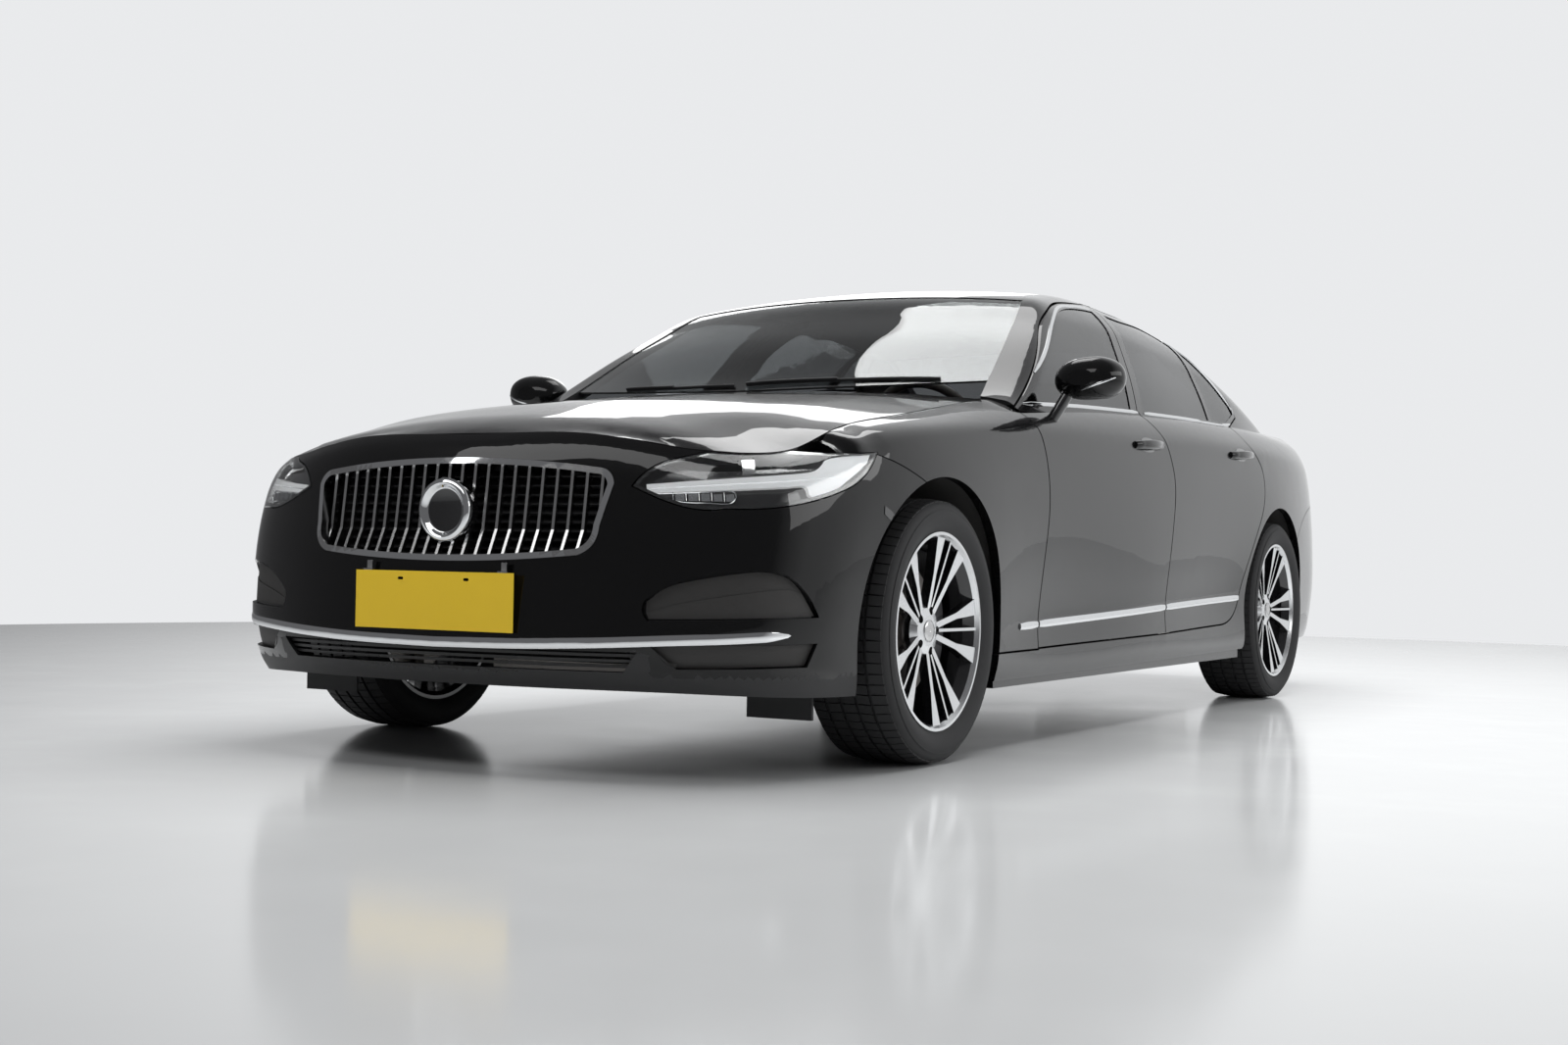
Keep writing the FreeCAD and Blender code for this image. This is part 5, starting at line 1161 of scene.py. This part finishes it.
class CAR_OT_mirrors(bpy.types.Operator):
    """Finishes the door mirrors"""
    bl_idname = "car.mirrors"
    bl_label = "Finish Mirrors"

    def execute(self, context):
        def pick(centre, normal):
            if centre.z < STALK_TOP and abs(centre.y) < STALK_END:
                return 1
            return 2 if normal.x < -0.85 and centre.x < MIRROR_BACK else 0

        for side in ("left", "right"):
            dress("door_mirror_" + side, ["paint", "gloss_black", "mirror_glass"], pick)
        return {"FINISHED"}


# Outer half of a tyre's section, as distance from its middle and radius, from bead to shoulder
TYRE_HALF = [(0.098, 0.243), (0.106, 0.2585), (0.1085, 0.262), (0.1145, 0.270), (0.1195, 0.281),
             (0.1222, 0.292), (0.1222, 0.300), (0.1205, 0.309), (0.1212, 0.3100), (0.1200, 0.3125),
             (0.1185, 0.3120), (0.1165, 0.3180), (0.1125, 0.3240), (0.1070, 0.3288), (0.1000, 0.3318)]
TYRE_STEPS = 120
TREAD_HALF = 0.094

# Inner and outer edge and slant of each rib of the tread
RIBS = [(-0.105, -0.068, 0.06), (-0.059, -0.026, 0.10), (-0.017, 0.017, 0.0), (0.026, 0.059, -0.10),
        (0.068, 0.105, -0.06)]
BLOCK_FACES = [[0, 1, 3, 2], [4, 6, 7, 5], [0, 4, 5, 1], [2, 3, 7, 6], [0, 2, 6, 4], [1, 5, 7, 3]]


def corners():
    """Name, place along the car and sign across it of each wheel."""
    for row, x in AXLES.items():
        for side, sign in (("left", 1), ("right", -1)):
            yield row + "_" + side, x, sign


class CAR_OT_tyres(bpy.types.Operator):
    """Makes the four tyres with their tread"""
    bl_idname = "car.tyres"
    bl_label = "Make Tyres"

    def execute(self, context):
        trim = settings_of("trim")
        base = TYRE_RADIUS - trim.tread_depth
        profile = TYRE_HALF + [(TREAD_HALF, base), (-TREAD_HALF, base)]
        profile += [(-a, r) for a, r in TYRE_HALF[::-1]]
        carcass_points, carcass_faces = lathe(profile, TYRE_STEPS)
        blocks = self.block_set(base, trim.tread_blocks)
        for name, x, sign in corners():
            mesh = repeated("ring", blocks, trim.tread_blocks, "black_rubber", radius=0.0001)
            mesh.transform(Matrix.Rotation(math.radians(90 * sign), 4, "X"))
            ring = bpy.data.meshes.new("tyre_ring")
            ring.from_pydata([tuple(p) for p in carcass_points], [], carcass_faces)
            whole = bmesh.new()
            whole.from_mesh(ring)
            whole.from_mesh(mesh)
            whole.to_mesh(mesh)
            whole.free()
            mesh.transform(Matrix.Translation((x, sign * WHEEL_Y, WHEEL_Z)))
            settle("treaded_tyre_" + name, mesh, "wheel_" + name, "tyre_rubber", 28.0, ("tyre_" + name,))
        return {"FINISHED"}

    def block_set(self, base, count):
        """Five ribs of one pitch, lying round Z at the tread's radius, with slanting sipes."""
        parts = []
        half = math.pi / count
        for low, high, slant in RIBS:
            block = []
            for radius, inset in ((base - 0.001, 0.0), (TYRE_RADIUS + 0.0002, 0.10)):
                for across, lean in ((low, -slant), (high, slant)):
                    shoulder = 0.0
                    if abs(across) > 0.1:
                        shoulder = 0.0062 if radius > base else 0.0045
                    r = radius - shoulder
                    for turn in (-1, 1):
                        angle = turn * half * (0.90 - inset * 0.3) + lean * 0.35 * half * 2
                        block.append(Vector((r * math.cos(angle), r * math.sin(angle), across)))
            parts.append((block, BLOCK_FACES))
        return joined(*parts)


# Faces of a wheel by radius and by distance out from the wheel's middle, and its cap and bolts
SPOKE_FACE_RADIUS, RIM_EDGE_RADIUS = 0.246, 0.2445
SPOKE_FACE_OUT, RIM_EDGE_OUT = 0.045, 0.09
HUB_FACE, BOLT_FACE = WHEEL_Y + 0.076, WHEEL_Y + 0.059
BOLT_COUNT, BOLT_RING = 5, 0.054
BOLT_LEVELS = [(0.0095, -0.012), (0.0095, 0.004), (0.0070, 0.0062)]
HUB_CAP = [(0.001, 0.0), (0.0046, 0.004), (0.0052, 0.016), (0.0042, 0.0255), (0.0020, 0.0285),
           (-0.004, 0.0292), (-0.004, 0.0)]


class CAR_OT_wheels(bpy.types.Operator):
    """Finishes the wheels and discs, and sets caps and bolts in them"""
    bl_idname = "car.wheels"
    bl_label = "Finish Wheels"

    def execute(self, context):
        for name, x, sign in corners():
            self.finish_rim(name, x, sign)
            self.set_hub(name, x, sign)
            coat("disc_" + name, "cast_iron")
        return {"FINISHED"}

    def finish_rim(self, name, x, sign):
        """Machined spoke faces and rim edge, gloss black behind them."""
        def pick(centre, normal):
            radius = math.hypot(centre.x - x, centre.z - WHEEL_Z)
            out = (centre.y - sign * WHEEL_Y) * sign
            edge = radius > RIM_EDGE_RADIUS and out > RIM_EDGE_OUT
            spoke = normal.y * sign > 0.55 and radius < SPOKE_FACE_RADIUS and out > SPOKE_FACE_OUT
            return 0 if edge or spoke else 1
        dress("rim_" + name, ["machined_alloy", "gloss_black"], pick)

    def set_hub(self, name, x, sign):
        """A domed cap and five bolt heads."""
        body = "wheel_" + name
        points, faces = lathe([(a * sign, r) for a, r in HUB_CAP], 48)
        place = Matrix.Translation((x, sign * HUB_FACE, WHEEL_Z))
        piece("hub_cap_" + name, [place @ p for p in points], faces, ["satin_chrome"], body, "alloy")
        mesh = repeated("ring", self.bolt_head(), BOLT_COUNT, "steel", radius=BOLT_RING)
        lay = Matrix.Translation((x, sign * BOLT_FACE, WHEEL_Z))
        lay = lay @ Matrix.Rotation(math.radians(-90 * sign), 4, "X")
        mesh.transform(lay @ Matrix.Rotation(math.radians(180), 4, "Z"))
        settle("wheel_bolts_" + name, mesh, body, "steel")

    def bolt_head(self):
        """A six-sided head along Z with a chamfered end."""
        points = []
        for radius, z in BOLT_LEVELS:
            for k in range(6):
                angle = math.pi / 3 * k
                points.append(Vector((math.cos(angle) * radius, math.sin(angle) * radius, z)))
        faces = [list(range(6))[::-1], [12 + k for k in range(6)]]
        for k in range(6):
            n = (k + 1) % 6
            faces += [[k, n, 6 + n, 6 + k], [6 + k, 6 + n, 12 + n, 12 + k]]
        return points, faces


# Places in the cabin
STEERING_AXIS = Vector((-0.927, 0, 0.375))
STEERING_MIDDLE = Vector((0.6, 0.37, 0.9))
GRIP_INSIDE, HORN_RADIUS = 0.16, 0.07
CARPET_LOW, TUNNEL_EDGE = 0.19, 0.1
SCREEN_PLACE, SCREEN_LEAN = (0.752, 0, 0.855), math.radians(12)
VENT_X, VENT_Z, VENT_LEAN = 0.752, 0.838, math.radians(-18)
VENTS = {"inner_left": 0.155, "inner_right": -0.155, "outer_left": 0.62, "outer_right": -0.62}


def steering_part(centre, normal):
    """First finish on the grip, second on the middle and third on the spokes."""
    offset = centre - STEERING_MIDDLE
    radius = (offset - STEERING_AXIS * offset.dot(STEERING_AXIS)).length
    if radius > GRIP_INSIDE:
        return 0
    return 1 if radius < HORN_RADIUS else 2


def floor_side(centre, normal):
    """First finish on what the cabin shows, second below."""
    raised = centre.z > CARPET_LOW and abs(centre.y) > TUNNEL_EDGE and normal.z > -0.1
    return 0 if normal.z > 0.5 or raised else 1


class CAR_OT_cabin(bpy.types.Operator):
    """Finishes the dashboard, steering wheel and floor, and adds a screen, vents and door rests"""
    bl_idname = "car.cabin"
    bl_label = "Fit Cabin"

    def execute(self, context):
        dress("dashboard", ["soft_trim", "dark_plastic"], lambda centre, normal: 0 if normal.z > -0.2 else 1)
        dress("steering_wheel", ["leather", "dark_plastic", "satin_chrome"], steering_part)
        dress("floor_pan", ["carpet", "underbody"], floor_side)
        tilt = Matrix.Translation(SCREEN_PLACE) @ Matrix.Rotation(SCREEN_LEAN, 4, "Y")
        screen = moved(box_points((-0.010, 0.004), (-0.085, 0.085), (-0.115, 0.115), 0.003), tilt)
        piece("centre_screen", *screen, ["screen_black"], "body", "dark_plastic")
        slat = box_points((-0.003, 0.012), (-0.055, 0.055), (-0.0012, 0.0012))
        for name, y in VENTS.items():
            mesh = repeated("row", slat, 6, "satin_chrome", step=(0, 0, 0.011))
            mesh.transform(Matrix.Translation((VENT_X, y, VENT_Z)) @ Matrix.Rotation(VENT_LEAN, 4, "Y"))
            settle("vent_" + name, mesh, "body", "dark_plastic")
        for row, x0, x1 in (("front", 0.15, 0.72), ("rear", -0.72, -0.30)):
            rest = box_points((x0, x1), (0.800, 0.862), (0.655, 0.700), 0.014)
            both_sides("arm_rest_" + row + "_left", *rest, ["leather"], "door_" + row + "_left", "leather")
        return {"FINISHED"}


def cushion_mesh(shape, size):
    """A closed block of quads whose points are placed by a function of three shares."""
    points, index, faces = [], {}, []
    nx, ny, nz = size

    def point(i, j, k):
        if (i, j, k) not in index:
            index[i, j, k] = len(points)
            points.append(Vector(shape(i / nx, j / ny, k / nz)))
        return index[i, j, k]

    def quad(*places):
        faces.append([point(*place) for place in places])

    for i in range(nx):
        for j in range(ny):
            quad((i, j, 0), (i, j + 1, 0), (i + 1, j + 1, 0), (i + 1, j, 0))
            quad((i, j, nz), (i + 1, j, nz), (i + 1, j + 1, nz), (i, j + 1, nz))
    for i in range(nx):
        for k in range(nz):
            quad((i, 0, k), (i + 1, 0, k), (i + 1, 0, k + 1), (i, 0, k + 1))
            quad((i, ny, k), (i, ny, k + 1), (i + 1, ny, k + 1), (i + 1, ny, k))
    for j in range(ny):
        for k in range(nz):
            quad((0, j, k), (0, j, k + 1), (0, j + 1, k + 1), (0, j + 1, k))
            quad((nx, j, k), (nx, j + 1, k), (nx, j + 1, k + 1), (nx, j, k + 1))
    return points, faces


# Stuffing
SWELL_FRAMES = 20
PAD_PRESSURE = 4.0


def evaluated_mesh(thing):
    """The mesh that an object has once its modifiers have run."""
    return bpy.data.meshes.new_from_object(thing.evaluated_get(bpy.context.evaluated_depsgraph_get()))


def places_of(mesh):
    """The places of a mesh's points as rows."""
    values = np.empty(len(mesh.vertices) * 3, np.float32)
    mesh.vertices.foreach_get("co", values)
    return values.reshape(-1, 3)


def swell(pad, voxel, cap):
    """Evens out a pad's faces and blows it up as stuffing does, no point further than the cap."""
    remesh = pad.modifiers.new("remesh", "REMESH")
    remesh.mode = "VOXEL"
    remesh.voxel_size = voxel
    even = evaluated_mesh(pad)
    pad.modifiers.remove(remesh)
    pad.data = even
    start = places_of(even)
    cloth = pad.modifiers.new("cloth", "CLOTH")
    cloth.settings.use_pressure = True
    cloth.settings.uniform_pressure_force = PAD_PRESSURE
    cloth.settings.effector_weights.gravity = 0.0
    cloth.settings.quality = 4
    cloth.point_cache.frame_start = 1
    cloth.point_cache.frame_end = SWELL_FRAMES
    for number in range(1, SWELL_FRAMES + 1):
        bpy.context.scene.frame_set(number)
    swollen = evaluated_mesh(pad)
    pad.modifiers.remove(cloth)
    bpy.context.scene.frame_set(1)
    move = places_of(swollen) - start
    length = np.linalg.norm(move, axis=1, keepdims=True)
    move *= np.minimum(1.0, cap / np.maximum(length, 1e-9))
    swollen.vertices.foreach_set("co", (start + move).astype(np.float32).ravel())
    pad.data = swollen


def padded_mesh(part, voxel, cap):
    """Swells a closed shape and gives its finished leather mesh."""
    mesh = bpy.data.meshes.new("pad")
    mesh.from_pydata([tuple(p) for p in part[0]], [], part[1])
    shape = bmesh.new()
    shape.from_mesh(mesh)
    bmesh.ops.recalc_face_normals(shape, faces=shape.faces)
    shape.to_mesh(mesh)
    shape.free()
    pad = bpy.data.objects.new("pad", mesh)
    bpy.context.scene.collection.objects.link(pad)
    swell(pad, voxel, cap)
    smooth = pad.modifiers.new("smooth", "SUBSURF")
    smooth.levels = smooth.render_levels = 1
    done = evaluated_mesh(pad)
    bpy.data.objects.remove(pad)
    done.materials.clear()
    done.materials.append(stock("leather"))
    return done


def across_both(low, high, sign):
    """A span across the car on the side of the given sign, lower end first."""
    return tuple(sorted((sign * low, sign * high)))


class CAR_OT_seats(bpy.types.Operator):
    """Makes the padded front seats and rear bench"""
    bl_idname = "car.seats"
    bl_label = "Make Seats"

    def execute(self, context):
        def cushion(u, v, w):
            y = 0.150 + 0.480 * v
            bolster = 0.030 * abs(2 * v - 1) ** 5
            top = 0.425 + 0.010 * u + bolster - 0.035 * max(0, (u - 0.8) / 0.2) ** 2
            low = 0.315
            return -0.010 + 0.530 * u, y, low + (top - low) * w

        def back(u, v, w):
            z = 0.455 + 0.490 * u
            wide = 0.235 - 0.045 * max(0, (u - 0.6) / 0.4) ** 2
            y = 0.390 + wide * (2 * v - 1)
            lean = -0.080 - 0.165 * u
            thick = 0.085 + 0.028 * abs(2 * v - 1) ** 5
            return lean + thick * w, y, z + 0.02 * w * (1 - u)

        def head(u, v, w):
            return -0.248 + 0.055 * w, 0.290 + 0.200 * v, 1.018 + 0.115 * u

        for label, shape, size, voxel, cap in (("cushion", cushion, (14, 14, 5), 0.008, 0.022),
                                               ("back", back, (14, 14, 4), 0.008, 0.022),
                                               ("head_rest", head, (6, 10, 4), 0.006, 0.012)):
            mesh = padded_mesh(cushion_mesh(shape, size), voxel, cap)
            twin = mesh.copy()
            twin.transform(Matrix.Scale(-1, 4, (0, 1, 0)))
            for side, half in (("left", mesh), ("right", twin)):
                made = settle("front_" + label + "_" + side, half, "body", "leather", 60.0)
        frames = []
        for sign in (1, -1):
            frames.append(box_points((0.06, 0.46), across_both(0.19, 0.59, sign), (0.1925, 0.306), 0.012))
            for y in (0.350, 0.430):
                frames.append(box_points((-0.222, -0.214), across_both(y - 0.004, y + 0.004, sign),
                                         (0.93, 1.03), 0.002))
        frame_piece = piece("seat_frames", *joined(*frames), ["dark_plastic"], "body", "dark_plastic")
        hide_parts("front_seats")
        self.make_bench()
        return {"FINISHED"}

    def make_bench(self):
        """The rear bench: cushion, back with two grooves, and the base under them."""
        def cushion(u, v, w):
            y = -0.435 + 0.870 * v
            seam = 0.008 * math.exp(-((v - 0.5) / 0.03) ** 2)
            top = 0.425 + 0.012 * u + 0.012 * abs(2 * v - 1) ** 6 - seam
            return -0.900 + 0.430 * u, y, 0.345 + (top - 0.345) * w

        def back(u, v, w):
            y = -0.435 + 0.870 * v
            lean = -1.040 - 0.120 * u
            groove = 0.010 * (math.exp(-((v - 0.38) / 0.02) ** 2) + math.exp(-((v - 0.62) / 0.02) ** 2))
            return lean + (0.115 - 0.03 * u - groove) * w, y, 0.500 + 0.430 * u

        for label, shape in (("cushion", cushion), ("back", back)):
            mesh = padded_mesh(cushion_mesh(shape, (12, 30, 4)), 0.010, 0.020)
            made = settle("bench_" + label, mesh, "body", "leather", 60.0)
        base = joined(box_points((-0.775, -0.470), (-0.440, -0.135), (0.195, 0.340), 0.01),
                      box_points((-0.775, -0.470), (0.135, 0.440), (0.195, 0.340), 0.01),
                      box_points((-1.215, -0.780), (-0.440, 0.440), (0.384, 0.400), 0.004),
                      box_points((-1.220, -1.195), (-0.440, 0.440), (0.400, 0.940), 0.008))
        made = piece("bench_base", *base, ["soft_trim"], "body", "leather")
        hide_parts("rear_bench")


# Where the calipers part from the carriers, and the boot floor's half width
CALIPER_INSIDE = 0.77
CARRIER_RADIUS = 0.118
BOOT_HALF_WIDTH = 0.47


def carrier_part(centre, normal):
    """First finish on the arms and carriers, second on the brake calipers."""
    x = min(AXLES.values(), key=lambda axle: abs(centre.x - axle))
    away = math.hypot(centre.x - x, centre.z - WHEEL_Z)
    return 1 if away > CARRIER_RADIUS and abs(centre.y) > CALIPER_INSIDE else 0


def boot_side(centre, normal):
    """First finish on the boot's floor, second elsewhere."""
    return 0 if normal.z > 0.5 and abs(centre.y) < BOOT_HALF_WIDTH else 1


class CAR_OT_underside(bpy.types.Operator):
    """Finishes the floor, engine bay, axle parts and exhaust"""
    bl_idname = "car.underside"
    bl_label = "Finish Underside"

    def execute(self, context):
        dress("boot_floor", ["carpet", "underbody"], boot_side)
        for node, finish in (("engine_bay", "underbody"), ("engine_block", "engine_alloy"),
                             ("radiator", "dark_plastic"), ("exhaust", "steel")):
            coat(node, finish)
        for node in ("front_subframe", "rear_subframe", "front_knuckle_left", "front_knuckle_right"):
            dress(node, ["cast_iron", "caliper_paint"], carrier_part)
        return {"FINISHED"}


# Ends of each wiper on the windscreen, in the top view
WIPERS = {"driver": ((1.118, 0.02), (0.985, 0.600)), "passenger": ((1.060, -0.45), (1.122, -0.02))}
WIPER_BEND = 0.016


class CAR_OT_wipers(bpy.types.Operator):
    """Lays two wipers on the windscreen"""
    bl_idname = "car.wipers"
    bl_label = "Fit Wipers"

    def execute(self, context):
        for name, (start, end) in WIPERS.items():
            middle = ((start[0] + end[0]) / 2 + WIPER_BEND, (start[1] + end[1]) / 2)
            run = lifted(traced([start, middle, end], "top", ("windscreen",), 0.02), 0.003)
            blade = bead(run, 0.008, 0.006, sink=0.003)
            arm = bead(lifted(run[:len(run) // 2], 0.006), 0.010, 0.004, sink=0.002)
            piece("wiper_" + name, *joined(blade, arm), ["dark_plastic"], "body", "dark_plastic")
        return {"FINISHED"}


class CAR_PT_panel(bpy.types.Panel):
    """Lists the settings and the steps in their order"""
    bl_label = "Sedan Car"
    bl_idname = "CAR_PT_panel"
    bl_space_type = "VIEW_3D"
    bl_region_type = "UI"
    bl_category = "Sedan Car"

    def draw(self, context):
        layout = self.layout
        for group in (context.scene.car_finish, context.scene.car_trim, context.scene.car_studio):
            box = layout.box()
            for key in group.__annotations__:
                box.prop(group, key)
        for step in STEPS:
            layout.operator(step.bl_idname)


STEPS = (CAR_OT_stage, CAR_OT_paintwork, CAR_OT_glazing, CAR_OT_lamps, CAR_OT_grille, CAR_OT_plate,
         CAR_OT_brightwork, CAR_OT_handles, CAR_OT_inserts, CAR_OT_mirrors, CAR_OT_tyres, CAR_OT_wheels,
         CAR_OT_cabin, CAR_OT_seats, CAR_OT_underside, CAR_OT_wipers)
CLASSES = (CarFinishSettings, CarTrimSettings, CarStudioSettings) + STEPS + (CAR_PT_panel,)


def register():
    for kind in CLASSES:
        bpy.utils.register_class(kind)
    bpy.types.Scene.car_finish = bpy.props.PointerProperty(type=CarFinishSettings)
    bpy.types.Scene.car_trim = bpy.props.PointerProperty(type=CarTrimSettings)
    bpy.types.Scene.car_studio = bpy.props.PointerProperty(type=CarStudioSettings)


def unregister():
    del bpy.types.Scene.car_studio
    del bpy.types.Scene.car_trim
    del bpy.types.Scene.car_finish
    for kind in reversed(CLASSES):
        bpy.utils.unregister_class(kind)


def main():
    """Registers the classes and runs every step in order."""
    register()
    for thing in list(bpy.data.objects):
        if thing.name in ("Cube", "Light", "Camera"):
            bpy.data.objects.remove(thing)
    for step in STEPS:
        area, name = step.bl_idname.split(".")
        getattr(getattr(bpy.ops, area), name)()


if __name__ == "__main__":
    main()
